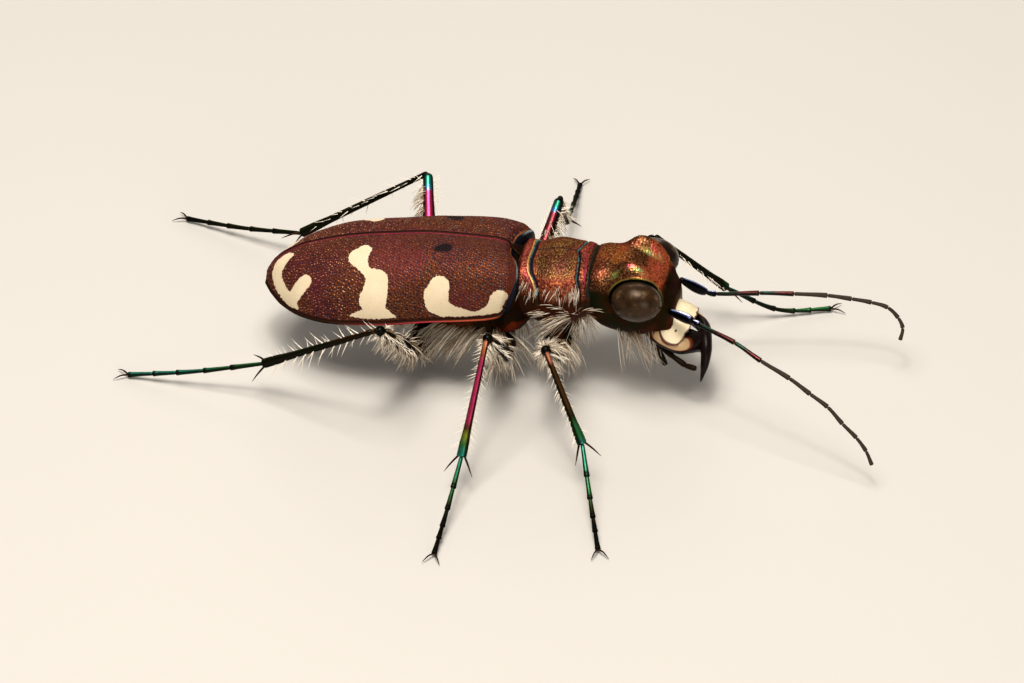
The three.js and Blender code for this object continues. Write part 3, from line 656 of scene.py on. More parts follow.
def make_prothorax():
    rings, turn = trunk_rings(PROTHORAX, 230, 260)
    degrees = np.abs(np.degrees(turn))
    hind = rings[:, :, 0] - smooth(HIND_GROOVE, 1, degrees)
    fore = rings[:, :, 0] - smooth(FORE_GROOVE, 1, degrees)
    onto_disc = np.clip(hind / 0.12, 0, 1) * np.clip(-fore / 0.12, 0, 1)
    back = np.clip((84 - degrees) / 10, 0, 1)
    wrinkles = 1 - np.abs(clouds(rings * (1, 1.6, 1.6), WRINKLE_SIZE, 1)) * 2.4
    relief = WRINKLE_DEPTH * wrinkles * back * (0.75 + 0.25 * onto_disc)
    relief += SWELL_DEPTH * clouds(rings, SWELL_SIZE, 2) * onto_disc * back
    for past in (hind - 0.02, fore):
        relief -= GROOVE_DEPTH * hump(past, 0, GROOVE_WIDTH) * np.clip((110 - degrees) / 20, 0, 1)
    relief -= MIDDLE_LINE_DEPTH * hump(rings[:, :, 1], 0, 0.03) * onto_disc * back
    ridge = hump(degrees, SIDE_RIDGE["degrees"], SIDE_RIDGE["wide"])
    relief += SIDE_RIDGE["high"] * ridge * np.clip(hind + 0.3, 0, 1)
    relief -= COLLAR_DEPTH * hump(rings[:, :, 0], COLLAR_X, COLLAR_WIDTH)
    formed = rings + outward(rings) * relief[:, :, None]
    return shell(hold(formed), hind=hind, fore=fore, degrees=degrees, middle=np.abs(rings[:, :, 1]),
                 ahead=rings[:, :, 0])


def prothorax_finish():
    finish = Finish("pronotum_chitin", Specular_IOR_Level=0.08, Specular_Tint=(0.5, 0.33, 0.22, 1))
    hind, fore, degrees = finish.value("hind"), finish.value("fore"), finish.value("degrees")
    fine, paint = finish.noise(0.055, 4.0), PRONOTUM_COLOURS
    flank, margin = finish.clouds(0.10, 3.0, FLANK_GRAIN), finish.clouds(0.06, 3.0, MARGIN_GRAIN)
    grooves = hind.band(-0.02, 0.0, 0.08, 0.12) + fore.band(-0.02, 0.0, 0.06, 0.09)
    middle_line = finish.value("middle").step(0.05, 0.02) * hind.step(0, 0.05) * fore.step(0, -0.05)
    cyan_edges = hind.band(-0.06, -0.045, -0.02, -0.005) + fore.band(-0.055, -0.04, -0.02, -0.005)
    broken = finish.noise(0.14, 1.0).step(0.36, 0.60) * 0.85 + 0.1
    patchy = finish.noise(0.14, 2.0).step(0.36, 0.60) * 0.5
    surface = finish.coats(
        finish.ramp(fine, DISC_GRAIN),
        (paint["dusky rose"], finish.noise(0.5, 2.0).step(0.46, 0.62) * 0.55),
        (flank, degrees.step(42, 60)),
        (flank, (hind.step(0.30, 0.14) + fore.step(-0.26, -0.12)).clamped() * 0.55),
        (margin, (hind.step(0.06, -0.02) + fore.step(0.02, 0.10)).clamped()),
        (paint["stripe"], fore.band(0.22, 0.25, 0.28, 0.31) * 0.75),
        (paint["rose"], hind.band(-0.40, -0.28, -0.20, -0.14) * patchy),
        (paint["gold"], hind.band(-0.13, -0.09, -0.07, -0.04) * 0.8),
        (paint["cyan"], (cyan_edges * broken).clamped()),
        (paint["groove"], (grooves + middle_line * 0.8).clamped() * 0.92),
        (paint["collar"], finish.value("ahead").step(3.95, 3.99)),
        (finish.clouds(0.8, 2.0, BELLY_CLOUDS), degrees.step(80, 90)))
    return finish.feed(Base_Color=surface, Metallic=0.78 - degrees.step(80, 98) * 0.4,
                       Roughness=0.40 + fine * 0.16, Normal=finish.bump(finish.cells(0.04), 0.008, 0.5))


joined("prothorax_shell", [make_prothorax()], prothorax_finish(), ["prothorax"])


# The rear trunk.
# The dark metallic chest that carries the wing cases and four of the legs, the ringed abdomen behind
# it, and the small pointed plate that shows between the wing cases' bases.
CHEST = [
    (1.80, 1.24, 4.66, 3.30, 2.50), (1.40, 1.66, 4.84, 3.10, 2.15), (0.95, 1.84, 4.88, 3.00, 2.05),
    (0.20, 1.88, 4.82, 2.95, 2.05), (-0.80, 1.84, 4.75, 2.90, 2.05), (-1.62, 1.62, 4.50, 2.95, 2.15),
    (-2.10, 1.40, 4.10, 3.00, 2.30),
]
ABDOMEN = [
    (-1.70, 1.40, 4.1, 3.1, 2.20), (-1.95, 1.52, 4.2, 3.1, 2.15), (-3.40, 1.68, 4.2, 3.1, 2.05),
    (-5.20, 1.56, 3.9, 3.0, 2.05), (-6.60, 1.02, 3.3, 2.8, 2.20), (-7.40, 0.50, 3.0, 2.8, 2.40),
]
BELLY_RING, BELLY_STEP = 0.82, 0.035
# Seams between the side plates: x at the belly, and how far each leans forwards on its way up
PLATE_SEAMS, PLATE_SEAM_DEPTH, PLATE_SEAM_WIDTH = [(-0.10, 0.62), (0.62, -0.35)], 0.06, 0.035
RED_PLATE = {"x": 1.30, "long": 0.50, "turn": 112, "degrees": 22}
SCUTELLUM = {"front": 1.58, "back": 0.86, "half": 0.44, "low": 4.84, "high": 5.16, "thick": 0.06}
CHEST_CLOUDS = [
    (0.32, (0.004, 0.010, 0.006)), (0.50, (0.018, 0.006, 0.002)), (0.62, (0.060, 0.012, 0.004)),
    (0.78, (0.010, 0.018, 0.008)),
]
CHEST_COLOURS = {
    "upper": (0.020, 0.006, 0.003), "upper shade": (0.007, 0.004, 0.002), "plate": (0.15, 0.022, 0.006),
}


def along_and_round(rows, sides):
    """Shares of the way along, and turns, of every point on rings."""
    turns = np.linspace(0, 2 * math.pi, sides, endpoint=False)
    return np.meshgrid(np.linspace(0, 1, rows), turns, indexing="ij")


def make_chest():
    rings, turn = trunk_rings(CHEST, 150, 180)
    degrees = np.abs(np.degrees(turn))
    relief = 0.012 * clouds(rings, 0.12, 3)
    below = np.clip((degrees - 80) / 15, 0, 1)
    for at, lean in PLATE_SEAMS:
        seam = rings[:, :, 0] - at - lean * (rings[:, :, 2] - 2.8)
        relief -= PLATE_SEAM_DEPTH * hump(seam, 0, PLATE_SEAM_WIDTH) * below
    plate = 1 - np.abs(rings[:, :, 0] - RED_PLATE["x"]) / RED_PLATE["long"]
    plate = plate - np.abs(degrees - RED_PLATE["turn"]) / RED_PLATE["degrees"]
    return shell(hold(rings + outward(rings) * relief[:, :, None]), under=below, plate=plate)


def make_abdomen():
    rings, _ = trunk_rings(ABDOMEN, 190, 150)
    place = (ABDOMEN[0][0] - rings[:, :, 0]) / BELLY_RING
    relief = BELLY_STEP * (1 - place % 1) ** 2 + 0.006 * clouds(rings, 0.1, 4)
    return shell(hold(rings + outward(rings) * relief[:, :, None]), under=1.0, plate=-1.0)


def make_scutellum():
    along, turn = along_and_round(24, 40)
    wide = SCUTELLUM["half"] * (1 - along) ** 0.8 * np.clip(along / 0.06, 0.2, 1) + 0.01
    thick = SCUTELLUM["thick"] * np.clip((1 - along) / 0.2, 0.15, 1)
    x = SCUTELLUM["front"] + (SCUTELLUM["back"] - SCUTELLUM["front"]) * along
    rise = SCUTELLUM["low"] + (SCUTELLUM["high"] - SCUTELLUM["low"]) * np.sin(along * math.pi / 2)
    rings = np.stack([x, wide * np.sin(turn), rise + thick * np.cos(turn)], -1)
    return shell(hold(rings), under=0.0, plate=-1.0)


def chest_finish():
    finish = Finish("dark_metallic_chitin", Specular_IOR_Level=0.04, Specular_Tint=(0.34, 0.22, 0.12, 1))
    surface = finish.coats(
        CHEST_COLOURS["upper"],
        (CHEST_COLOURS["upper shade"], finish.noise(0.2, 3.0)),
        (finish.clouds(0.9, 3.0, CHEST_CLOUDS), finish.value("under")),
        (CHEST_COLOURS["plate"], finish.value("plate").step(0.0, 0.25) * 0.85))
    return finish.feed(Base_Color=surface, Metallic=0.6, Roughness=0.30 + finish.noise(0.1, 2.0) * 0.15,
                       Normal=finish.bump(finish.cells(0.05), 0.008, 0.4))


dark_chitin = chest_finish()
joined("chest_shell", [make_chest(), make_scutellum()], dark_chitin, ["pterothorax"])
joined("abdomen_shell", [make_abdomen()], dark_chitin, ["abdomen"])


# The head.
# A broad capsule of granular copper-coloured chitin with a raised, striped brow over each eye, and a
# smooth dark front. It is lofted, the brows are pushed up and the furrow round each eye pressed in.
HEAD = [
    (3.90, 1.30, 4.92, 3.95, 3.05), (4.10, 1.44, 5.10, 3.95, 2.92), (4.50, 1.50, 5.20, 3.90, 2.55),
    (5.10, 1.50, 5.20, 3.85, 2.35), (5.80, 1.50, 5.02, 3.75, 2.30), (6.40, 1.38, 4.66, 3.55, 2.45),
    (6.80, 1.22, 4.24, 3.35, 2.50), (7.00, 1.06, 3.92, 3.20, 2.52), (7.06, 0.90, 3.76, 3.15, 2.60),
]
HEAD_SQUARE = 2.7
BROW = {"x": 5.88, "y": 1.10, "long": 0.74, "wide": 0.46, "rise": 0.57}
FURROW_DEPTH, EYE_RIM_HEIGHT, STRIA_SPACING, STRIA_DEPTH, STRIA_REACH = 0.07, 0.045, 0.085, 0.009, 0.62
GRAIN_SIZE, GRAIN_DEPTH = 0.07, 0.010
LIP_HINGE = {"x": 6.72, "bow": 0.12, "wide": 0.035, "deep": 0.04}
PAINTED_HEAD_HIGHLIGHTS = {
    # painted highlights, iridescent glints of gold and rose: x, distance from the middle line, length and
    # width
    "gold": [(6.02, 0.52, 0.24, 0.10), (6.30, 0.62, 0.12, 0.10), (5.94, 1.14, 0.30, 0.07),
             (5.04, 1.18, 0.12, 0.08)],
    "rose": [(5.62, 1.10, 0.18, 0.06), (6.14, 0.70, 0.14, 0.08), (6.32, 0.15, 0.10, 0.14)],
}
VERTEX_GRAIN = [(0.36, (0.016, 0.007, 0.003)), (0.52, (0.095, 0.033, 0.014)), (0.68, (0.33, 0.15, 0.062))]
FURROW_METALS = [(0.30, (0.02, 0.08, 0.04)), (0.50, (0.30, 0.26, 0.04)), (0.72, (0.34, 0.10, 0.03))]
FRONT_CLOUDS = [(0.35, (0.012, 0.004, 0.002)), (0.55, (0.012, 0.014, 0.003)), (0.7, (0.024, 0.006, 0.003))]
CHEEK_CLOUDS = [(0.35, (0.003, 0.010, 0.004)), (0.52, (0.014, 0.007, 0.002)), (0.7, (0.040, 0.009, 0.003))]
HEAD_COLOURS = {
    "copper": (0.20, 0.055, 0.010), "dusky rose": (0.13, 0.018, 0.014), "gold": (0.42, 0.44, 0.10),
    "green": (0.10, 0.34, 0.20), "rose": (0.50, 0.07, 0.09), "ember": (0.84, 0.17, 0.075),
    "nape": (0.016, 0.012, 0.007), "eye edge": (0.003, 0.006, 0.006),
}


def dome(value, middle, width):
    return np.exp(-np.abs((value - middle) / width) ** 3)


def make_head():
    rings, turn = trunk_rings(HEAD, 260, 280, HEAD_SQUARE)
    degrees, ahead, aside = np.abs(np.degrees(turn)), rings[:, :, 0], np.abs(rings[:, :, 1])
    back = np.clip((75 - degrees) / 15, 0, 1)
    raised = BROW["rise"] * dome(ahead, BROW["x"], BROW["long"]) * back * dome(aside, BROW["y"], BROW["wide"])
    formed = rings + raised[:, :, None] * (0, 0, 1)
    radii = np.array(EYE["radii"])
    eye = np.min([np.linalg.norm((formed - mirrored(EYE["centre"], side)) / radii, axis=-1) - 1
                  for side in SIDES.values()], axis=0) * radii.mean()
    stripes = np.cos(eye * 2 * math.pi / STRIA_SPACING) * np.clip((STRIA_REACH - eye) / 0.2, 0, 1)
    hinge = ahead + LIP_HINGE["bow"] * aside**2
    relief = EYE_RIM_HEIGHT * hump(eye, 0.12, 0.05) - FURROW_DEPTH * hump(eye, 0.03, 0.04)
    relief += (STRIA_DEPTH * stripes + GRAIN_DEPTH * clouds(rings, GRAIN_SIZE, 5)) * back
    relief -= LIP_HINGE["deep"] * hump(hinge, LIP_HINGE["x"], LIP_HINGE["wide"]) * back
    formed = formed + outward(formed) * relief[:, :, None]
    painted_highlights = {name: sum(hump(ahead, x, long) * hump(aside, y, wide) for x, y, long, wide in spots) * back
             for name, spots in PAINTED_HEAD_HIGHLIGHTS.items()}
    return shell(turn_head(formed), eye=eye, degrees=degrees, ahead=ahead, **painted_highlights)


def head_finish():
    finish = Finish("head_chitin", Specular_IOR_Level=0.04, Specular_Tint=(0.52, 0.36, 0.24, 1))
    eye, degrees, ahead = finish.value("eye"), finish.value("degrees"), finish.value("ahead")
    gold, rose, paint = finish.value("gold"), finish.value("rose"), HEAD_COLOURS
    grain, streak = finish.noise(0.060), finish.noise(0.05, 2.0).step(0.36, 0.60)
    surface = finish.coats(
        finish.ramp(grain, VERTEX_GRAIN),
        (paint["copper"], finish.noise(0.45, 2.0).step(0.50, 0.68) * 0.40),
        (paint["dusky rose"], finish.noise(0.6, 2.0).step(0.48, 0.64) * 0.4),
        # Painted highlights: iridescent gold, green and rose glints on the brows and the front
        (paint["gold"], (gold * (0.35 + streak)).clamped() * 0.8),
        (paint["green"], gold.step(0.55, 0.95) * finish.noise(0.16).step(0.42, 0.58) * 0.8),
        (paint["rose"], (rose * (0.5 + streak)).clamped() * 0.85),
        (paint["ember"], ahead.band(5.85, 6.15, 6.60, 6.78) * (grain.step(0.38, 0.60) * 0.75 + 0.12)),
        (finish.ramp((eye * 4).clamped(), FURROW_METALS), eye.step(0.20, 0.12) * degrees.step(80, 62) * 0.8),
        (paint["nape"], ahead.step(4.20, 4.11) * 0.85),
        (finish.clouds(0.5, 2.0, FRONT_CLOUDS), ahead.step(6.54, 6.78)),
        (finish.clouds(0.7, 2.0, CHEEK_CLOUDS), degrees.step(62, 80)),
        (paint["eye edge"], eye.step(0.12, 0.06)))
    down_side = degrees.step(62, 84)
    return finish.feed(Base_Color=surface, Metallic=0.8 - down_side * 0.35,
                       Roughness=0.30 + grain * 0.16 - down_side * 0.06,
                       Normal=finish.bump(finish.cells(0.035), 0.006, 0.4))


joined("head_capsule", [make_head()], head_finish(), ["head"])


# The eyes.
# Two large bulging compound eyes of clear brown-grey facets, dark at the rim, each set in its furrow.
EYE_FACET = 0.026
EYE_CLOUDS = [(0.34, (0.012, 0.006, 0.003)), (0.55, (0.028, 0.013, 0.005)), (0.74, (0.100, 0.064, 0.034))]
EYE_RIM_COLOUR = (0.006, 0.004, 0.003)


def make_eye(side):
    share, lon = along_and_round(90, 120)
    lat = 0.01 + (math.pi - 0.02) * share
    ball = np.stack([np.sin(lat) * np.cos(lon), np.cos(lat), np.sin(lat) * np.sin(lon)], -1)
    return shell(turn_head(mirrored(EYE["centre"] + ball * EYE["radii"], side)), rim=ball[:, :, 1])


def eye_finish():
    finish = Finish("eye_facets", Roughness=0.27, Specular_IOR_Level=0.24,
                    Specular_Tint=(0.95, 0.74, 0.55, 1))
    surface = finish.coats(
        finish.clouds(0.32, 3.0, EYE_CLOUDS),
        (EYE_RIM_COLOUR, finish.value("rim").step(0.0, -0.30)))
    return finish.feed(Base_Color=surface, Normal=finish.bump(finish.cells(EYE_FACET), 0.004, 0.35))


eye_material = eye_finish()
for side_name, side in SIDES.items():
    joined(f"compound_eye_{side_name}", [make_eye(side)], eye_material, [f"eye_{side_name}"])


# The mouth.
# An ivory upper lip with a toothed front edge, two crossing black sickle jaws with an ivory plate
# on the outside of each, and four jointed palps below, all set at the front of the head.
LIP = {
    "back": 6.92, "front": 7.74, "high": 3.30, "low": 3.00, "half": 1.38, "thick": 0.11, "bow": 0.54,
    "droop": 0.76,
}
LIP_TEETH = {"spacing": 0.31, "long": 0.07}
LIP_PORE = {"along": 0.62, "aside": 1.0, "radius": 0.04}
LIP_COLOURS = {
    "ivory": (0.72, 0.58, 0.36), "light ivory": (0.80, 0.70, 0.48), "hinge": (0.45, 0.09, 0.015),
    "rim": (0.07, 0.012, 0.006), "pore": (0.02, 0.008, 0.005),
}
JAWS = {
    "right": [(6.20, -0.94, 2.68), (6.82, -0.99, 2.38), (7.32, -0.90, 2.18), (7.68, -0.54, 2.10),
              (7.90, -0.06, 1.84), (7.98, 0.42, 1.42), (8.04, 0.84, 1.42)],
    "left": [(6.30, 1.10, 2.60), (6.98, 1.12, 2.36), (7.50, 0.86, 2.26), (7.92, 0.42, 2.20),
             (8.13, -0.22, 2.08), (8.22, -0.62, 1.76), (8.20, -0.88, 1.30), (8.10, -1.06, 0.78)],
}
JAW_RADII = {
    "right": [0.28, 0.32, 0.36, 0.41, 0.38, 0.20, 0.02],
    "left": [0.30, 0.32, 0.30, 0.29, 0.28, 0.25, 0.17, 0.02],
}
JAW_FLAT = 0.85
# Teeth inside each jaw: share of the way along, and length
JAW_TEETH, TOOTH_RADII = [(0.30, 0.34), (0.42, 0.30), (0.53, 0.24)], [0.15, 0.11, 0.01]
# The ivory plate: middle along the jaw, the way that it faces, half length, and how fast it narrows
JAW_PLATE = {"along": 0.23, "outer": 0.84, "over": 0.54, "half": 0.18, "narrow": 0.50}
JAW_COLOURS = {
    "black": (0.003, 0.003, 0.003), "brown": (0.010, 0.004, 0.003), "plate edge": (0.14, 0.022, 0.008),
    "plate": (0.54, 0.36, 0.19),
}
PALPS = {
    "maxillary": [(6.50, -0.80, 2.02), (7.08, -0.98, 1.70), (7.56, -1.10, 1.44), (7.98, -1.22, 1.42)],
    "labial": [(6.05, -0.36, 2.20), (6.45, -0.38, 1.50), (6.70, -0.42, 0.95)],
}
PALP_RADII, PALP_TIP_RADII = [0.085, 0.095, 0.105, 0.11, 0.105], [0.08, 0.095, 0.105, 0.105, 0.09]


def curve_through(points, shares):
    """Points at these shares of the length of a smooth curve through a few given points."""
    points = np.asarray(points, float)
    held = np.vstack([2 * points[0] - points[1], points, 2 * points[-1] - points[-2]])
    knots = np.concatenate([[0], np.cumsum(np.linalg.norm(np.diff(held, axis=0), axis=1) ** 0.5)])
    fine = [points[:1]]
    for i in range(1, len(held) - 2):
        slopes = [(held[k + 1] - held[k]) / (knots[k + 1] - knots[k]) for k in (i - 1, i, i + 1)]
        spans = [knots[k + 1] - knots[k] for k in (i - 1, i, i + 1)]
        leave = (slopes[0] * spans[1] + slopes[1] * spans[0]) / (spans[0] + spans[1]) * spans[1]
        arrive = (slopes[1] * spans[2] + slopes[2] * spans[1]) / (spans[1] + spans[2]) * spans[1]
        t = np.linspace(0, 1, 25)[1:, None]
        fine.append(held[i] * (2 * t**3 - 3 * t**2 + 1) + leave * (t**3 - 2 * t**2 + t)
                    + held[i + 1] * (3 * t**2 - 2 * t**3) + arrive * (t**3 - t**2))
    fine = np.vstack(fine)
    run = run_through(fine)
    return np.column_stack([np.interp(np.asarray(shares) * run[-1], run, fine[:, k]) for k in range(3)])


def tube_rings(points, radii, sides, shares, flat=1.0):
    """Rings round a curve. The radii are spaced evenly along it; flat narrows it from side to side."""
    shares = np.asarray(shares, float)
    middle = curve_through(points, shares)
    forward = np.gradient(middle, axis=0)
    forward /= np.linalg.norm(forward, axis=1, keepdims=True)
    aside = np.cross(forward, (0, 0, 1))
    aside /= np.linalg.norm(aside, axis=1, keepdims=True)
    over = np.cross(aside, forward)
    radius = np.interp(shares, np.linspace(0, 1, len(radii)), radii)[:, None, None]
    turn = np.linspace(0, 2 * math.pi, sides, endpoint=False)[None, :, None]
    return (middle[:, None] + aside[:, None] * np.sin(turn) * radius * flat
            + over[:, None] * np.cos(turn) * radius)


def limb_rings(points, radii, sides, rows, flat=1.0, blunt=(1.0, 1.0)):
    """Rings round a curve whose two ends are closed by round caps as long as blunt times their radius."""
    length = np.linalg.norm(np.diff(np.asarray(points, float), axis=0), axis=1).sum()
    first, last = radii[0] * blunt[0] / length, radii[-1] * blunt[1] / length
    cap = 1 - np.cos(np.linspace(0.08, math.pi / 2, 8))
    straight = np.linspace(first, 1 - last, rows - 14)[1:-1]
    shares = np.concatenate([first * cap, straight, 1 - last * cap[::-1]])
    rings = tube_rings(points, radii, sides, shares, flat)
    middle = rings.mean(1, keepdims=True)
    near_ends = np.clip([shares / first, (1 - shares) / last], 0, 1)
    closing = np.prod(np.sqrt(1 - (1 - near_ends) ** 2), axis=0)
    return middle + (rings - middle) * closing[:, None, None]


def unit(vectors):
    return vectors / np.maximum(np.linalg.norm(vectors, axis=-1, keepdims=True), 1e-9)


def make_lip():
    along, turn = along_and_round(40, 96)
    long, low = LIP["front"] - LIP["back"], LIP["low"] - LIP["high"]
    wide = LIP["half"] * (0.79 + 0.58 * along - 0.45 * along**2)
    y = wide * power(np.sin(turn), 0.75)
    curve = (y / LIP["half"]) ** 2
    thick = LIP["thick"] * np.clip((1 - along) / 0.35, 0.2, 1) ** 0.6 * np.cos(turn)
    teeth = LIP_TEETH["long"] * np.abs(np.sin(y * math.pi / LIP_TEETH["spacing"])) ** 0.6 * along**6
    x = LIP["back"] + long * along + teeth - LIP["bow"] * curve
    z = LIP["high"] + low * along - LIP["droop"] * curve + thick
    off = np.hypot((along - LIP_PORE["along"]) * long, np.abs(y) - LIP_PORE["aside"])
    return shell(turn_head(np.stack([x + thick * 0.5, y, z], -1)), along=along, across=np.abs(y) / wide,
                 pore=off / LIP_PORE["radius"])


def lip_finish():
    finish = Finish("ivory_chitin", Coat_Weight=0.4, Coat_Roughness=0.15)
    along, paint = finish.value("along"), LIP_COLOURS
    surface = finish.coats(
        paint["ivory"],
        (paint["light ivory"], finish.noise(0.3, 2.0)),
        (paint["hinge"], along.step(0.16, 0.04)),
        (paint["rim"], (along.step(0.93, 0.99) + finish.value("across").step(0.95, 0.975)).clamped()),
        (paint["pore"], finish.value("pore").step(1.3, 0.8)))
    return finish.feed(Base_Color=surface, Roughness=0.35 + finish.noise(0.1) * 0.1)


def make_jaw(name):
    side, points = SIDES[name], turn_head(JAWS[name])
    rings = limb_rings(points, JAW_RADII[name], 40, 90, JAW_FLAT)
    along, turn = along_and_round(90, 40)
    facing = JAW_PLATE["outer"] * np.sin(turn) * -side + JAW_PLATE["over"] * np.cos(turn)
    leaf = JAW_PLATE["half"] - np.hypot(along - JAW_PLATE["along"], (facing - 1.0) * JAW_PLATE["narrow"])
    shells = [shell(rings, leaf=leaf)]
    for share, length in JAW_TEETH:
        root = curve_through(points, [share - 0.01, share, share + 0.01])
        forward = unit(root[2] - root[0])
        inward = np.array((-1.0, -0.4 * side, 0.1))
        inward = unit(inward - forward * (forward @ inward))
        tip = root[1] + inward * length + forward * length * 0.45
        curve = [root[1], (root[1] + tip) / 2 + forward * 0.02, tip]
        shells.append(shell(tube_rings(curve, TOOTH_RADII, 16, np.linspace(0, 1, 14), 0.8), leaf=-1.0))
    return shells


def jaw_finish():
    finish = Finish("black_jaw_chitin", Specular_IOR_Level=0.07)
    leaf, paint = finish.value("leaf"), JAW_COLOURS
    surface = finish.coats(
        paint["black"],
        (paint["brown"], finish.noise(0.3, 2.0)),
        (paint["plate edge"], leaf.step(-0.02, 0.0)),
        (paint["plate"], leaf.step(0.008, 0.03)))
    return finish.feed(Base_Color=surface, Roughness=0.26 + leaf.step(0.0, 0.03) * 0.14)


def make_palp(kind, side):
    points = turn_head(mirrored(PALPS[kind], -side))
    shells = []
    for number, (root, tip) in enumerate(zip(points[:-1], points[1:])):
        radii = PALP_TIP_RADII if number == len(points) - 2 else PALP_RADII
        bone = [root - (tip - root) * 0.08, root + (tip - root) * 0.5, tip]
        shells.append(shell(limb_rings(bone, radii, 24, 30, blunt=(0.4, 0.5))))
    return shells


lip_material, jaw_material = lip_finish(), jaw_finish()
palp_material = Finish("dark_palp_chitin", Base_Color=(0.009, 0.004, 0.0015, 1), Roughness=0.32,
                       Specular_IOR_Level=0.05).material
joined("upper_lip", [make_lip()], lip_material, ["labrum"])
for side_name, side in SIDES.items():
    joined(f"jaw_{side_name}", make_jaw(side_name), jaw_material, [f"mandible_{side_name}"])
    for kind in PALPS:
        joined(f"{kind}_feeler_{side_name}", make_palp(kind, side), palp_material,
               [f"{kind}_palp_{side_name}"])


# The feelers.
# Eleven jointed segments on each side: a thick glossy blue-black one at the socket, whose blue is a
# painted highlight along its top, a short neck, two slim metallic ones with painted shade beneath,
# and seven matt grey-brown ones that taper to the tip.
FEELERS = {
    "right": [(7.01, -1.15, 3.98), (7.87, -1.75, 4.12), (8.14, -1.95, 4.14), (9.52, -2.60, 4.02),
              (10.54, -3.05, 3.68), (11.64, -3.50, 3.39), (12.43, -3.80, 3.03), (13.10, -4.05, 2.73),
              (13.68, -4.30, 2.25), (14.22, -4.50, 1.85), (14.60, -4.70, 1.46), (14.85, -4.90, 1.03)],
    "left": [(7.04, 1.00, 3.84), (7.87, 1.45, 3.09), (8.22, 1.60, 2.95), (9.73, 2.05, 2.86),
             (10.96, 2.30, 2.81), (12.16, 2.50, 2.75), (13.03, 2.60, 2.64), (13.76, 2.60, 2.58),
             (14.37, 2.50, 2.50), (14.78, 2.35, 2.20), (14.98, 2.15, 1.91), (14.93, 1.90, 1.54)],
}
SCAPE_RADII = [0.09, 0.125, 0.155, 0.178, 0.190, 0.190, 0.175, 0.13]
NECK_RADII = [0.075, 0.10, 0.115, 0.11]
# The other segments swell towards their tips, and each is slimmer than the one before
SEGMENT_RADII, SEGMENT_TAPER = [0.078, 0.07956, 0.0858, 0.0969, 0.1071], 0.025
SHAFT_METALS = [
    (0.0, (0.006, 0.012, 0.008)), (0.16, (0.012, 0.040, 0.022)), (0.34, (0.010, 0.026, 0.016)),
    (0.46, (0.02, 0.014, 0.010)), (0.62, (0.07, 0.012, 0.014)), (0.92, (0.06, 0.014, 0.010)),
]
# The blue line and the glint are painted highlights, and the shade colour is painted shade
FEELER_COLOURS = {
    "scape": (0.003, 0.003, 0.004), "painted blue highlight": (0.12, 0.15, 0.55), "glint": (0.70, 0.78, 0.95),
    "shade": (0.008, 0.006, 0.005), "matt": (0.016, 0.011, 0.007), "light matt": (0.042, 0.029, 0.018),
    "joint": (0.012, 0.008, 0.006), "pale ring": (0.36, 0.22, 0.10),
}


def between(points, first, last):
    """A stretch of the smooth curve through the points, from one point to another."""
    run = run_through(np.asarray(points, float))
    return curve_through(points, np.linspace(run[first], run[last], 5) / run[-1])


def run_along(rings):
    """How far along its limb each ring lies, from 0 to 1."""
    run = run_through(rings.mean(1))
    return run / run[-1]


def facing_up(rings):
    """How far each side of a limb faces up, from -1 to 1."""
    return np.cos(np.linspace(0, 2 * math.pi, rings.shape[1], endpoint=False))


def make_feeler(name):
    joints = FEELERS[name]
    shells = []
    for k in range(len(joints) - 1):
        stretch = between(joints, k, k + 1)
        radii = np.array(SEGMENT_RADII) * (1 - SEGMENT_TAPER * k)
        if k == 0:
            stretch[0] += (stretch[0] - stretch[1]) * 0.35
            radii = SCAPE_RADII
        elif k == 1:
            radii = NECK_RADII
        rings = limb_rings(stretch, radii, 24, 40, blunt=(0.5, 0.5))
        shells.append(shell(rings, segment=k, along=run_along(rings)[:, None], over=facing_up(rings)))
    return shells


def feeler_finish():
    finish = Finish("feeler_chitin", Specular_IOR_Level=0.12)
    segment, along, over = finish.value("segment"), finish.value("along"), finish.value("over")
    matt_end, paint = segment.step(3.3, 3.7), FEELER_COLOURS
    # Painted highlight: a blue line and a pale glint along the top of the scape and the neck
    line = over.step(0.80, 0.98) * along.band(0.04, 0.14, 0.86, 0.96)
    surface = finish.coats(
        paint["scape"],
        (paint["painted blue highlight"], line * 0.9),
        (paint["glint"], line * over.step(0.93, 0.985)),
        # Painted shade on the undersides of the slim metallic segments
        (finish.mix(paint["shade"], finish.ramp(along, SHAFT_METALS), over.step(0.45, 0.90)),
         segment.step(1.2, 1.6)),
        (finish.mix(paint["matt"], paint["light matt"], finish.noise(0.10)), matt_end),
        (paint["joint"], (along.step(0.94, 0.98) + along.step(0.06, 0.03)).clamped() * 0.8),
        (paint["pale ring"], along.step(0.985, 0.995) * segment.step(1.5, 1.9) * 0.8))
    return finish.feed(Base_Color=surface, Metallic=0.75 * segment.step(3.7, 3.3),
                       Roughness=0.2 + matt_end * 0.4, Normal=finish.bump(finish.cells(0.03), 0.005, 0.4))


feeler_material = feeler_finish()
for side_name in SIDES:
    joined(f"feeler_{side_name}", make_feeler(side_name), feeler_material,
           [f"antenna_{side_name}_{part}" for part in ("scape", "inner", "outer")])


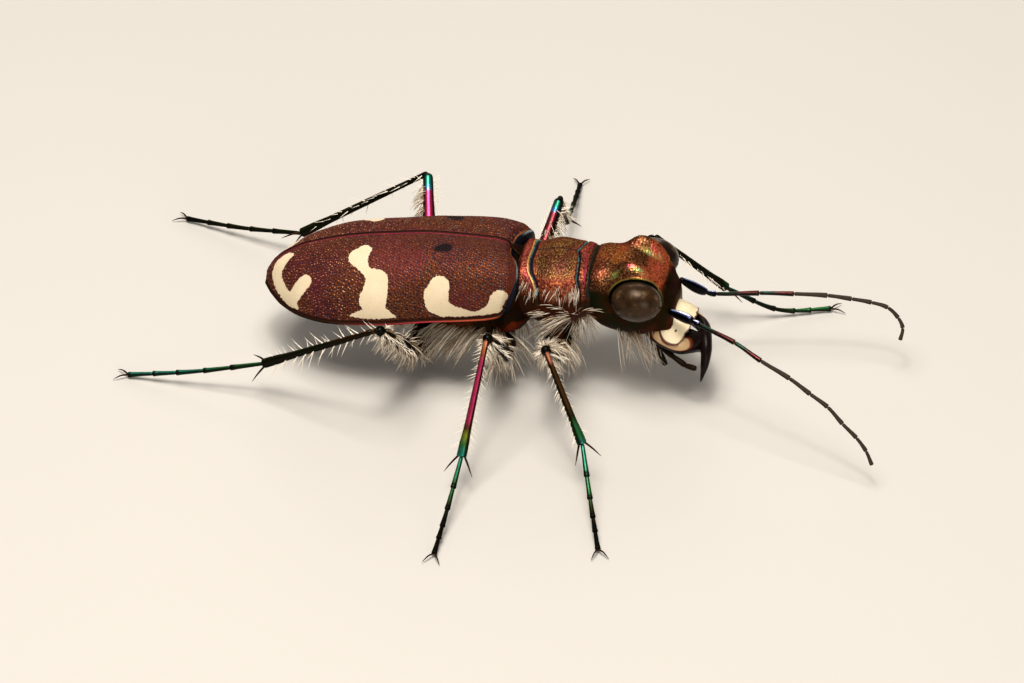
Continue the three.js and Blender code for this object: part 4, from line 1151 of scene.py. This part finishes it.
# The legs.
# Six long running legs of metallic chitin: a rounded hip, a swollen thigh, a slender shin with two
# spurs and a foot of five slim segments that ends in two claws. Their colours run from red to green.
HIPS = {"front": (2.90, 1.24, 1.50), "middle": (0.98, 1.46, 1.36), "hind": (-2.36, 1.50, 1.20)}
HIP_ROOTS = {"front": (2.72, 0.50, 2.40), "middle": (0.55, 0.50, 2.10), "hind": (-1.85, 0.45, 2.00)}
LEGS = {
    # knee, ankle, toe, how far the foot sags
    "front_right": ((3.06, -4.75, 4.40), (4.70, -6.38, 1.65), (5.94, -10.23, 0.12), 0.10),
    "middle_right": ((0.98, -4.85, 4.74), (0.55, -7.50, 1.35), (0.34, -11.50, 0.12), 0.10),
    "hind_right": ((-2.85, -5.22, 4.83), (-7.45, -3.62, 1.51), (-12.58, -3.39, 0.12), 0.10),
    "front_left": ((5.69, 3.13, 4.11), (8.29, 3.79, 1.63), (11.98, 5.25, 0.12), 0.52),
    "middle_left": ((1.93, 4.56, 4.31), (1.69, 7.40, 1.25), (1.51, 11.31, 0.12), 0.10),
    "hind_left": ((-3.19, 5.51, 4.10), (-7.93, 5.00, 1.10), (-12.65, 6.45, 0.12), 0.10),
}
METALS = {
    "black": (0.006, 0.006, 0.005), "bronze": (0.085, 0.036, 0.010), "copper": (0.50, 0.13, 0.035),
    "salmon": (0.85, 0.28, 0.16), "magenta": (0.50, 0.035, 0.11), "lime": (0.26, 0.32, 0.03),
    "green": (0.03, 0.17, 0.05), "turquoise": (0.025, 0.22, 0.15), "blue": (0.08, 0.26, 0.58),
    "violet": (0.20, 0.035, 0.045), "olive": (0.022, 0.026, 0.008), "gold": (0.80, 0.42, 0.10),
}
LEG_COLOURS = {
    # thigh, shin, then foot: share of the length, and the metal there
    "front_right": ([(0, "bronze"), (0.9, "bronze"), (0.95, "black")],
                    [(0.02, "black"), (0.035, "salmon"), (0.11, "salmon"), (0.16, "bronze"), (0.60, "bronze"),
                     (0.70, "olive"), (0.80, "green"), (0.92, "green"), (0.96, "turquoise")],
                    [(0, "turquoise"), (0.42, "green"), (0.60, "olive"), (0.72, "black")]),
    "middle_right": ([(0, "olive"), (0.9, "olive"), (0.95, "black")],
                     [(0.02, "black"), (0.035, "salmon"), (0.12, "copper"), (0.20, "magenta"),
                      (0.68, "magenta"), (0.76, "bronze"), (0.82, "lime"), (0.90, "green"),
                      (0.95, "turquoise")],
                     [(0, "turquoise"), (0.26, "green"), (0.50, "olive"), (0.66, "black")]),
    "hind_right": ([(0, "olive"), (0.9, "olive"), (0.95, "black")],
                   # the gold just below the knee is a painted glint
                   [(0.02, "black"), (0.03, "gold"), (0.05, "bronze"), (0.30, "bronze"), (0.45, "olive"),
                    (1, "olive")],
                   [(0, "green"), (0.30, "green"), (0.55, "turquoise"), (0.9, "turquoise")]),
    "front_left": ([(0, "bronze"), (0.7, "turquoise"), (0.93, "turquoise"), (0.97, "black")],
                   [(0, "black"), (0.05, "olive"), (0.9, "olive"), (1, "green")],
                   [(0, "turquoise"), (0.5, "olive"), (0.8, "green")]),
    "middle_left": ([(0, "violet"), (0.865, "violet"), (0.885, "blue"), (0.92, "turquoise"),
                     (0.955, "turquoise"), (0.975, "black")],
                    [(0, "black"), (0.1, "bronze"), (0.9, "olive"), (1, "green")],
                    [(0, "green"), (0.5, "olive"), (0.8, "black")]),
    "hind_left": ([(0, "magenta"), (0.86, "magenta"), (0.88, "blue"), (0.92, "turquoise"),
                   (0.965, "turquoise"), (0.99, "black")],
                  [(0, "black"), (0.06, "olive"), (1, "olive")],
                  [(0, "olive"), (0.6, "olive"), (0.9, "black")]),
}
HIP_RADII = [0.42, 0.54, 0.48, 0.32]
THIGH_RADII = [0.22, 0.30, 0.34, 0.33, 0.29, 0.25, 0.21, 0.19, 0.18]
SHIN_RADII = [0.11, 0.10, 0.105, 0.115, 0.12, 0.125, 0.13, 0.14, 0.175, 0.18]
FOOT_SEGMENTS = {"front": [0.30, 0.21, 0.18, 0.14, 0.17], "middle": [0.31, 0.22, 0.18, 0.13, 0.16],
                 "hind": [0.25, 0.20, 0.20, 0.17, 0.18]}
FOOT_RADII = [0.070, 0.076, 0.082, 0.090, 0.110]
SPUR_LENGTH, SPUR_RADIUS, SPUR_SPLAY, SPUR_DROOP = 0.8, 0.042, 0.55, 0.06
CLAW_LENGTH, CLAW_RADIUS, CLAW_SPLAY, CLAW_DROOP = 0.60, 0.036, 0.62, 0.14
LEG_PARTS, CHANNELS = {"thigh": 0, "shin": 1, "foot": 2, "horn": 3}, ("red", "green", "blue")
# The shade colour is painted shade, laid down the sides of each limb
LEG_PAINTS = {
    "worn": (0.05, 0.02, 0.008), "shade": (0.007, 0.007, 0.005), "foot joint": (0.008, 0.007, 0.006),
    "horn": (0.020, 0.008, 0.004),
}


def leg_values(rings, part, stops=((0, "black"),), first=0.0, last=1.0):
    """Values that colour a piece of leg: which piece, how far along and round, and its metal there."""
    along = run_along(rings)[:, None]
    share = first + (last - first) * along
    where, metals = [stop[0] for stop in stops], np.array([METALS[stop[1]] for stop in stops])
    colour = {name: np.interp(share, where, metals[:, k]) for k, name in enumerate(CHANNELS)}
    return {"part": LEG_PARTS[part], "along": along, "over": facing_up(rings), **colour}


def thorn(root, direction, length, radius, droop):
    """A pointed spine whose tip droops."""
    run = unit(direction) * length
    points = [root, root + run * 0.5, root + run - (0, 0, droop)]
    return tube_rings(points, [radius, radius * 0.9, radius * 0.65, 0.008], 12, np.linspace(0, 1, 14))


def make_foot(pair, ankle, toe, sag, stops):
    """Five slim segments from the ankle to the toe, and two claws."""
    middle = ankle + (toe - ankle) * 0.5 - (0, 0, sag)
    lengths = FOOT_SEGMENTS[pair]
    ends = np.concatenate([[0], np.cumsum(lengths)]) / sum(lengths)
    foot = []
    for first, last in zip(ends[:-1], ends[1:]):
        stretch = curve_through([ankle, middle, toe], np.linspace(first, last, 5))
        rings = limb_rings(stretch, FOOT_RADII, 24, 36, blunt=(0.5, 0.35))
        foot.append(shell(rings, **leg_values(rings, "foot", stops, first, last)))
    ahead = unit((toe - middle) * (1, 1, 0))
    for hand in (-1, 1):
        splay = ahead + np.cross((0, 0, 1), ahead) * hand * CLAW_SPLAY + (0, 0, 0.16)
        claw = thorn(toe - ahead * 0.03, splay, CLAW_LENGTH, CLAW_RADIUS, CLAW_DROOP)
        claw[:, :, 2] = np.maximum(claw[:, :, 2], 0.0)
        foot.append(shell(claw, **leg_values(claw, "horn")))
    for points, _, _ in foot:
        points[:, 2] = np.maximum(points[:, 2], 0.0)
    return foot


def make_leg(name):
    """The skins of a leg's four pieces, and the rings that its bristles and hairs stand on."""
    pair, side_name = name.split("_")
    side, sag = SIDES[side_name], LEGS[name][3]
    knee, ankle, toe = [np.array(place, float) for place in LEGS[name][:3]]
    thigh_stops, shin_stops, foot_stops = LEG_COLOURS[name]
    root, hip = hold(mirrored(HIP_ROOTS[pair], side)), hold(mirrored(HIPS[pair], side))
    coxa = limb_rings([root, (root + hip) / 2, hip], HIP_RADII, 40, 44, blunt=(0.6, 0.8))
    thigh = limb_rings([hip, (hip + knee) / 2, knee], THIGH_RADII, 40, 120)
    shin = limb_rings([knee, (knee + ankle) / 2, ankle], SHIN_RADII, 32, 110, blunt=(1.0, 0.35))
    down = unit(ankle - knee)
    across = unit(np.cross(down, toe - ankle))
    lower = [shell(shin, **leg_values(shin, "shin", shin_stops))]
    for hand in (-1, 1):
        base = ankle - down * 0.10 + across * hand * 0.08
        spur = thorn(base, down * 0.85 + across * hand * SPUR_SPLAY, SPUR_LENGTH, SPUR_RADIUS, SPUR_DROOP)
        lower.append(shell(spur, **leg_values(spur, "horn")))
    limbs = {
        "coxa": [shell(coxa, under=1.0, plate=-1.0)],
        "femur": [shell(thigh, **leg_values(thigh, "thigh", thigh_stops))],
        "tibia": lower,
        "tarsus": make_foot(pair, ankle, toe, sag, foot_stops),
    }
    return limbs, {"coxa": coxa, "femur": thigh, "tibia": shin}


def leg_finish():
    finish = Finish("leg_chitin", Specular_IOR_Level=0.08, Specular_Tint=(0.35, 0.28, 0.20, 1))
    part, along, over = finish.value("part"), finish.value("along"), finish.value("over")
    channels, paint = {k: finish.value(name) for k, name in enumerate(CHANNELS)}, LEG_PAINTS
    surface = finish.coats(
        finish.node("ShaderNodeCombineColor", {}, channels),
        (paint["worn"], finish.noise(0.25, 3.0).step(0.50, 0.72) * 0.35),
        # Painted shade down the sides of each limb, which leaves a painted highlight stripe along its top
        (paint["shade"], over.step(0.97, 0.62) * 0.93),
        (paint["foot joint"], part.band(1.6, 1.8, 2.2, 2.4) * along.step(0.80, 0.90) * 0.9),
        (paint["horn"], part.step(2.6, 2.8)))
    return finish.feed(Base_Color=surface, Metallic=0.8 - part.step(2.6, 2.9) * 0.6,
                       Roughness=0.24 + finish.noise(0.08) * 0.12,
                       Normal=finish.bump(finish.cells(0.05), 0.006, 0.4))


leg_material = leg_finish()
leg_rings = {}
for leg_name in LEGS:
    limbs, leg_rings[leg_name] = make_leg(leg_name)
    for part_name, shells in limbs.items():
        slot, material = ("body_shell", dark_chitin) if part_name == "coxa" else ("leg", leg_material)
        joined(f"{leg_name}_{part_name}_skin", shells, material, [f"{leg_name}_{part_name}"])


# The leg bristles.
# Stiff white bristles in rows along the thighs and shins. One tapering, slightly bent bristle is set
# on each root point and turned to the way that it leans.
BRISTLES = {
    # pair, part: share of the limb between, spacing in mm, rows round a right limb in degrees,
    # length, thickness
    ("front", "femur"): (0.30, 0.93, 0.10, (-150, -112, 112, 150), 0.46, 0.018),
    ("middle", "femur"): (0.30, 0.93, 0.10, (-150, -112, 112, 150), 0.46, 0.018),
    ("hind", "femur"): (0.30, 0.95, 0.11, (-150, -112, 112, 150), 0.46, 0.018),
    ("front", "tibia"): (0.06, 0.94, 0.16, (-140, -98, 98, 140), 0.36, 0.016),
    ("middle", "tibia"): (0.06, 0.94, 0.14, (-140, -98, 98, 140), 0.38, 0.016),
    ("hind", "tibia"): (0.05, 0.90, 0.42, (-155, -122, 15, 48), 0.58, 0.020),
}
BRISTLE_LEAN, BRISTLE_BEND, BRISTLE_SIZES = 0.85, 0.05, (0.6, 1.25)
# How wide the dot is that one strand takes of the bake map
BAKE_DOT = 0.003
HAIR_COLOURS = {"silky": (0.92, 0.83, 0.69), "dusky": (0.21, 0.12, 0.05)}


def bristle_tree():
    tree = bpy.data.node_groups.new("bristle_on_each_root", "GeometryNodeTree")
    face = tree.interface
    face.new_socket("Roots", in_out="INPUT", socket_type="NodeSocketGeometry")
    for name, kind in (("Length", "Float"), ("Thickness", "Float"), ("Bend", "Float"), ("Seed", "Int"),
                       ("Finish", "Material")):
        face.new_socket(name, in_out="INPUT", socket_type=f"NodeSocket{kind}")
    face.new_socket("Bristles", in_out="OUTPUT", socket_type="NodeSocketGeometry")

    def node(kind, settings=None, inputs=None):
        made = tree.nodes.new(kind)
        for name, value in (settings or {}).items():
            setattr(made, name, value)
        for name, value in (inputs or {}).items():
            if isinstance(value, bpy.types.NodeSocket):
                tree.links.new(value, made.inputs[name])
            else:
                made.inputs[name].default_value = value
        return made.outputs

    def maths(operation, first, second):
        return node("ShaderNodeMath", {"operation": operation}, {0: first, 1: second})[0]

    def stored(name, kind):
        return node("GeometryNodeInputNamedAttribute", {"data_type": kind}, {"Name": name})["Attribute"]

    entry = node("NodeGroupInput")
    cone = node("GeometryNodeMeshCone", {"fill_type": "NGON"}, {
        "Vertices": 4, "Side Segments": 4, "Radius Top": 0.0, "Radius Bottom": entry["Thickness"],
        "Depth": entry["Length"]})
    place = node("ShaderNodeSeparateXYZ", None, {0: node("GeometryNodeInputPosition")[0]})
    share = maths("DIVIDE", place["Z"], entry["Length"])
    shift = maths("MULTIPLY", maths("POWER", share, 2.0), entry["Bend"])
    offset = node("ShaderNodeCombineXYZ", None, {"X": shift})[0]
    bent = node("GeometryNodeSetPosition", None, {"Geometry": cone["Mesh"], "Offset": offset})
    lie = stored("lie", "FLOAT_VECTOR")
    turn = node("FunctionNodeAlignRotationToVector", {"axis": "Z"}, {"Vector": lie})[0]
    low, high = BRISTLE_SIZES
    uneven = node("FunctionNodeRandomValue", {"data_type": "FLOAT"}, {"Seed": entry["Seed"], 2: low, 3: high})
    size = maths("MULTIPLY", uneven[1], stored("size", "FLOAT"))
    copies = node("GeometryNodeInstanceOnPoints", None, {
        "Points": entry["Roots"], "Instance": bent["Geometry"], "Rotation": turn, "Scale": size})
    real = node("GeometryNodeRealizeInstances", None, {"Geometry": copies["Instances"]})[0]
    painted = node("GeometryNodeSetMaterial", None, {"Geometry": real, "Material": entry["Finish"]})[0]
    node("NodeGroupOutput", None, {0: painted})
    return tree


def bake_patches(mesh, beds, spots):
    """The bake map: the points of each strand share a dot at its place on the skin's unwrap."""
    places = (beds[:, None] + BAKE_DOT * spots).reshape(-1, 2)
    corners = np.empty(len(mesh.loops), dtype=np.int64)
    mesh.loops.foreach_get("vertex_index", corners)
    mesh.uv_layers.new(name="OFBake").data.foreach_set("uv", places[corners].ravel())


def planted(name, roots, lies, beds, finish, slot, seed, **lengths):
    """Bristles grown from root points by the tree above, as one plain mesh with a bake patch for each."""
    mesh = bpy.data.meshes.new(name)
    mesh.from_pydata(placed(roots).tolist(), [], [])
    mesh.attributes.new("lie", "FLOAT_VECTOR", "POINT").data.foreach_set("vector", np.ravel(lies))
    mesh.attributes.new("size", "FLOAT", "POINT").data.foreach_set("value", np.ones(len(roots)))
    bed = bpy.data.objects.new(f"{name}_roots", mesh)
    bpy.context.scene.collection.objects.link(bed)
    modifier = bed.modifiers.new("bristles", "NODES")
    modifier.node_group = BRISTLE_TREE
    sockets = [item for item in BRISTLE_TREE.interface.items_tree if item.in_out == "INPUT"]
    identifiers = {item.name: item.identifier for item in sockets}
    for label, value in lengths.items():
        modifier[identifiers[label]] = value * MM
    modifier[identifiers["Seed"]] = seed
    modifier[identifiers["Finish"]] = finish
    grown = bpy.data.meshes.new_from_object(bed.evaluated_get(bpy.context.evaluated_depsgraph_get()))
    bpy.data.objects.remove(bed)
    grown.name = name
    each = len(grown.vertices) // len(beds)
    bake_patches(grown, beds, np.stack([np.arange(each) % 4 / 4, np.arange(each) / each], -1))
    fitted(name, grown)


def point_on(rings, row, turn):
    """The point of a limb's skin in this row and at this turn."""
    sides = rings.shape[1]
    return rings[row, (turn / (2 * math.pi) * sides).astype(int) % sides]


def on_unwrap(share, turn):
    """Where a point of a limb lies on its unwrap."""
    return np.column_stack([0.02 + 0.95 * share, 0.01 + 0.95 * turn / (2 * math.pi)])


def roots_on(rings, first, last, spacing, angles, rng):
    """Root points in rows along a limb, and the way that each bristle leans, out and towards the foot."""
    middle = rings.mean(1)
    run = run_through(middle)
    count = int((last - first) * run[-1] / spacing)
    roots, lies, beds = [], [], []
    for angle in angles:
        shares = np.linspace(first, last, count) + rng.normal(0, 0.3 * spacing / run[-1], count)
        row = np.interp(shares * run[-1], run, np.arange(len(rings))).astype(int)
        turn = (math.radians(angle) + rng.normal(0, 0.12, count)) % (2 * math.pi)
        point = point_on(rings, row, turn)
        out = unit(point - middle[row])
        ahead = unit(middle[np.minimum(row + 1, len(rings) - 1)] - middle[row])
        roots.append(point - out * 0.02)
        lies.append(out + ahead * BRISTLE_LEAN + rng.normal(0, 0.12, (count, 3)))
        beds.append(on_unwrap(shares, turn))
    return np.vstack(roots), np.vstack(lies), np.vstack(beds)


def hair_finish():
    finish = Finish("white_bristle", Roughness=0.5, Specular_IOR_Level=0.3)
    silky, dusky = HAIR_COLOURS["silky"], HAIR_COLOURS["dusky"]
    # Darker with each strand's random tone, and with painted shade at its roots
    return finish.feed(Base_Color=finish.mix(silky, dusky, finish.value("dusk").step(0.0, 1.0)))


BRISTLE_TREE = bristle_tree()
white_hair = hair_finish()
rng = np.random.default_rng(21)
for leg_name, limbs in leg_rings.items():
    pair, side_name = leg_name.split("_")
    for number, part_name in enumerate(("femur", "tibia")):
        first, last, spacing, angles, length, thick = BRISTLES[pair, part_name]
        angles = [angle * -SIDES[side_name] for angle in angles]
        roots, lies, beds = roots_on(limbs[part_name], first, last, spacing, angles, rng)
        planted(f"{leg_name}_{part_name}_bristles", roots, lies, beds, white_hair, "bristle", number,
                Length=length, Thickness=thick, Bend=BRISTLE_BEND)


# The hair of the trunk, hips and thighs.
# Long silky white hairs that grow in tufts on the flanks, hips and thighs and under the head. Each is
# one tapering, bending strand that starts in the skin and follows the lie of its patch.
HAIR_PATCHES = [
    # skin, x between, degrees round between, hairs, length, lie along the body and down, lift, sag, thickness
    ("prothorax", 1.58, 3.72, 60, 86, 90, 0.40, (-0.15, 1.0), 0.50, 0.20, 0.012),
    ("prothorax", 2.35, 3.75, 92, 124, 95, 0.62, "spread", 0.26, 0.12, 0.0105),
    ("prothorax", 2.50, 4.00, 116, 150, 90, 1.15, "spread", 0.50, 0.30, 0.015),
    ("chest", 0.60, 0.95, 96, 140, 36, 0.80, (-0.05, 1.0), 0.40, 0.25, 0.015),
    ("chest", 0.00, 0.95, 112, 165, 90, 1.30, (0.15, 1.0), 0.55, 0.40, 0.017),
    ("chest", -1.60, 0.40, 98, 150, 460, 1.45, (-0.95, 0.62), 0.40, 0.46, 0.019),
    ("abdomen", -3.40, -2.00, 96, 140, 110, 0.70, (-0.9, 0.5), 0.25, 0.15, 0.014),
    ("head", 5.10, 6.45, 124, 160, 64, 1.90, (0.20, 1.0), 0.40, 0.05, 0.016),
]
LIMB_HAIR = [
    # limb, part, share between, degrees round between, hairs, length, lie along the body and down, lift, sag
    ("front", "coxa", 0.25, 1.0, -180, 180, 90, 1.10, (0.25, 1.0), 0.45, 0.30),
    ("middle", "coxa", 0.25, 1.0, -180, 180, 90, 1.20, (0.20, 1.0), 0.45, 0.30),
    ("hind", "coxa", 0.25, 0.9, -180, 180, 60, 0.55, (-0.55, 0.8), 0.40, 0.20),
    ("front", "femur", 0.06, 0.98, -60, 200, 340, 0.60, (0.60, 0.7), 0.80, 0.25),
    ("middle", "femur", 0.06, 0.94, -30, 200, 230, 0.66, (0.65, 0.9), 0.75, 0.25),
    ("hind", "femur", 0.06, 0.97, -180, 0, 200, 0.66, (-0.70, 0.7), 0.70, 0.25),
]
# Where hairs that spread start from: x, and degrees round from the back
HAIR_FOCUS = (3.68, 122)
HAIR_RADIUS, HAIR_RINGS, HAIR_TAPER, HAIR_PER_TUFT, HAIR_GATHER = 0.0165, 6, 0.40, 3, 0.25
ROOT_DEPTH, LOWEST_HAIR = 0.03, 0.03
HAIR_DUSK, GOLDEN_SHARE = 0.92, 0.618
SKINS = {"prothorax": (PROTHORAX, TRUNK_SQUARE, hold), "chest": (CHEST, TRUNK_SQUARE, hold),
         "abdomen": (ABDOMEN, TRUNK_SQUARE, hold), "head": (HEAD, HEAD_SQUARE, turn_head)}


def strands(name, roots, heads, bends, lengths, radii, beds, material, slot):
    """Tapering three-sided strands as one mesh, painted darker at their roots as shade, each in a tone of its
    own.
    """
    count, rings = len(roots), HAIR_RINGS
    share = np.linspace(0, 1, rings + 1)
    reach = heads[:, None] * share[:, None] + bends[:, None] * share[:, None] ** 2
    middle = roots[:, None] + lengths[:, None, None] * reach
    forward = unit(np.gradient(middle, axis=1))
    aside = unit(np.cross(forward, (0.1, 0.2, 1.0)))
    over = np.cross(aside, forward)
    thick = np.broadcast_to(radii, count)[:, None] * (1 - share[:-1]) ** HAIR_TAPER
    turn = np.arange(3) * 2 * math.pi / 3
    round_it = aside[:, :-1, None] * np.sin(turn)[:, None] + over[:, :-1, None] * np.cos(turn)[:, None]
    ring = middle[:, :-1, None] + round_it * thick[:, :, None, None]
    points = np.concatenate([ring.reshape(count, rings * 3, 3), middle[:, -1:]], axis=1)
    points[:, :, 2] = np.maximum(points[:, :, 2], LOWEST_HAIR - SHIFT[2])
    pattern = [(0, 2, 1)]
    for k in range(rings):
        for side in range(3):
            here, there = k * 3 + side, k * 3 + (side + 1) % 3
            upper = (there + 3, here + 3) if k < rings - 1 else (rings * 3,)
            pattern.append((here, there, *upper))
    size = rings * 3 + 1
    faces = [tuple(corner + hair * size for corner in face) for hair in range(count) for face in pattern]
    mesh = bpy.data.meshes.new(name)
    mesh.from_pydata(placed(points.reshape(-1, 3)).tolist(), [], faces)
    mesh.polygons.foreach_set("use_smooth", [True] * len(faces))
    spots = np.column_stack([np.tile(turn / (2 * math.pi), rings), np.repeat(share[:-1], 3)])
    spots = np.vstack([spots, (0.5, 1.0)])
    bake_patches(mesh, beds, spots)
    tone = HAIR_DUSK * (np.arange(count) * GOLDEN_SHARE % 1)
    # Painted shade: darker towards each strand's root, on top of its random tone
    dusk = tone[:, None] + np.clip(0.7 - 2.5 * spots[:, 1], 0, 1)
    mesh.attributes.new("dusk", "FLOAT", "POINT").data.foreach_set("value", dusk.ravel())
    mesh.materials.append(material)
    fitted(name, mesh)


def gathered(roots, tuft_roots, lengths):
    """The bend that draws a tuft's hairs together towards their tips."""
    return (tuft_roots - roots) * (HAIR_GATHER / lengths)[:, None]


def headings(flat, out, lift, spread, rng):
    """The way that each hair starts: along the skin, lifted off it, and a little uneven."""
    flat = flat - out * np.sum(flat * out, -1, keepdims=True) * 0.8
    return unit(flat + out * lift + rng.normal(0, spread, (len(flat), 3)))


def limb_hairs(rings, first, last, low, high, count, length, lie, lift, sag, rng):
    """Long loose hairs on a limb, all leaning one way."""
    tufts = max(count // HAIR_PER_TUFT, 1)
    tuft = rng.integers(0, tufts, count)
    shares = rng.uniform(first, last, tufts)[tuft] + rng.normal(0, 0.02, count)
    turns = np.radians(rng.uniform(low, high, tufts)[tuft] + rng.normal(0, 7, count)) % (2 * math.pi)
    rows = np.interp(np.clip(shares, 0.03, 0.97), run_along(rings), np.arange(len(rings))).astype(int)
    root = point_on(rings, rows, turns)
    out = unit(root - rings.mean(1)[rows])
    lean = rng.normal(0, 0.18, (tufts, 2))[tuft]
    flat = np.stack([lie[0] + lean[:, 0], 0 * shares, -lie[1] - lean[:, 1]], -1)
    heading = headings(flat, out, lift, 0.07, rng)
    bend = -out * lift * 0.3 - (0, 0, sag) + rng.normal(0, 0.04, (count, 3))
    lengths = length * rng.uniform(0.5, 1.15, count)
    middles = np.array([root[tuft == k].mean(0) if np.any(tuft == k) else (0, 0, 0) for k in range(tufts)])
    bend += gathered(root, middles[tuft], lengths)
    return root - out * ROOT_DEPTH, heading, bend, lengths, on_unwrap(shares, turns)


def patch_hairs(skin, x0, x1, low, high, count, length, lie, lift, sag, thick, side, rng):
    """Tufts of hair on one side of a part of the trunk."""
    stations, square, place = SKINS[skin]
    tufts = max(count // HAIR_PER_TUFT, 1)
    tuft_x, tuft_turn = rng.uniform(x0, x1, tufts), rng.uniform(low, high, tufts)
    tuft_lean = rng.normal(0, 0.16, (tufts, 2))
    tuft = rng.integers(0, tufts, count)
    x = np.clip(tuft_x[tuft] + rng.normal(0, 0.08, count), x0, x1)
    degrees = tuft_turn[tuft] + rng.normal(0, 3.0, count)
    turn = np.radians(degrees) * side
    root = skin_point(stations, x, turn, square)
    ahead = unit(skin_point(stations, x + 0.02, turn, square) - root)
    round_it = unit(skin_point(stations, x, turn + side * 0.02, square) - root)
    out = unit(np.cross(ahead, round_it)) * side
    if lie == "spread":
        along, below = x - HAIR_FOCUS[0], np.radians(degrees - HAIR_FOCUS[1]) * 1.3
        away = np.maximum(np.hypot(along, below), 0.05)
        along, below = along / away, below / away + 0.35
    else:
        along, below = np.full(count, lie[0]), np.full(count, lie[1])
    lean = tuft_lean[tuft]
    flat = np.stack([along + lean[:, 0], np.zeros(count), -below - lean[:, 1]], -1)
    heading = headings(flat, out, lift, 0.06, rng)
    bend = -out * lift * 0.35 - (0, 0, sag) + rng.normal(0, 0.04, (count, 3))
    lengths = length * rng.uniform(0.6, 1.15, count)
    bend += gathered(root, skin_point(stations, tuft_x, np.radians(tuft_turn) * side, square)[tuft], lengths)
    first, last = stations[0][0], stations[-1][0]
    beds = np.column_stack([0.02 + 0.95 * (x - first) / (last - first), 0.5 + degrees * side / 380])
    root, radii = root - out * ROOT_DEPTH, np.full(count, thick)
    start = place(root)
    return start, place(root + heading) - start, place(root + bend) - start, lengths, radii, beds


rng = np.random.default_rng(34)
for skin_name in SKINS:
    for side_name, side in SIDES.items():
        grown = [patch_hairs(*patch, side, rng) for patch in HAIR_PATCHES if patch[0] == skin_name]
        strands(f"{skin_name}_hair_{side_name}", *[np.concatenate(column) for column in zip(*grown)],
                white_hair, "bristle")
for pair, part_name, *patch in LIMB_HAIR:
    for side_name in SIDES:
        leg_name = f"{pair}_{side_name}"
        *hairs, beds = limb_hairs(leg_rings[leg_name][part_name], *patch, rng)
        strands(f"{leg_name}_{part_name}_hair", *hairs, HAIR_RADIUS, beds, white_hair, "bristle")
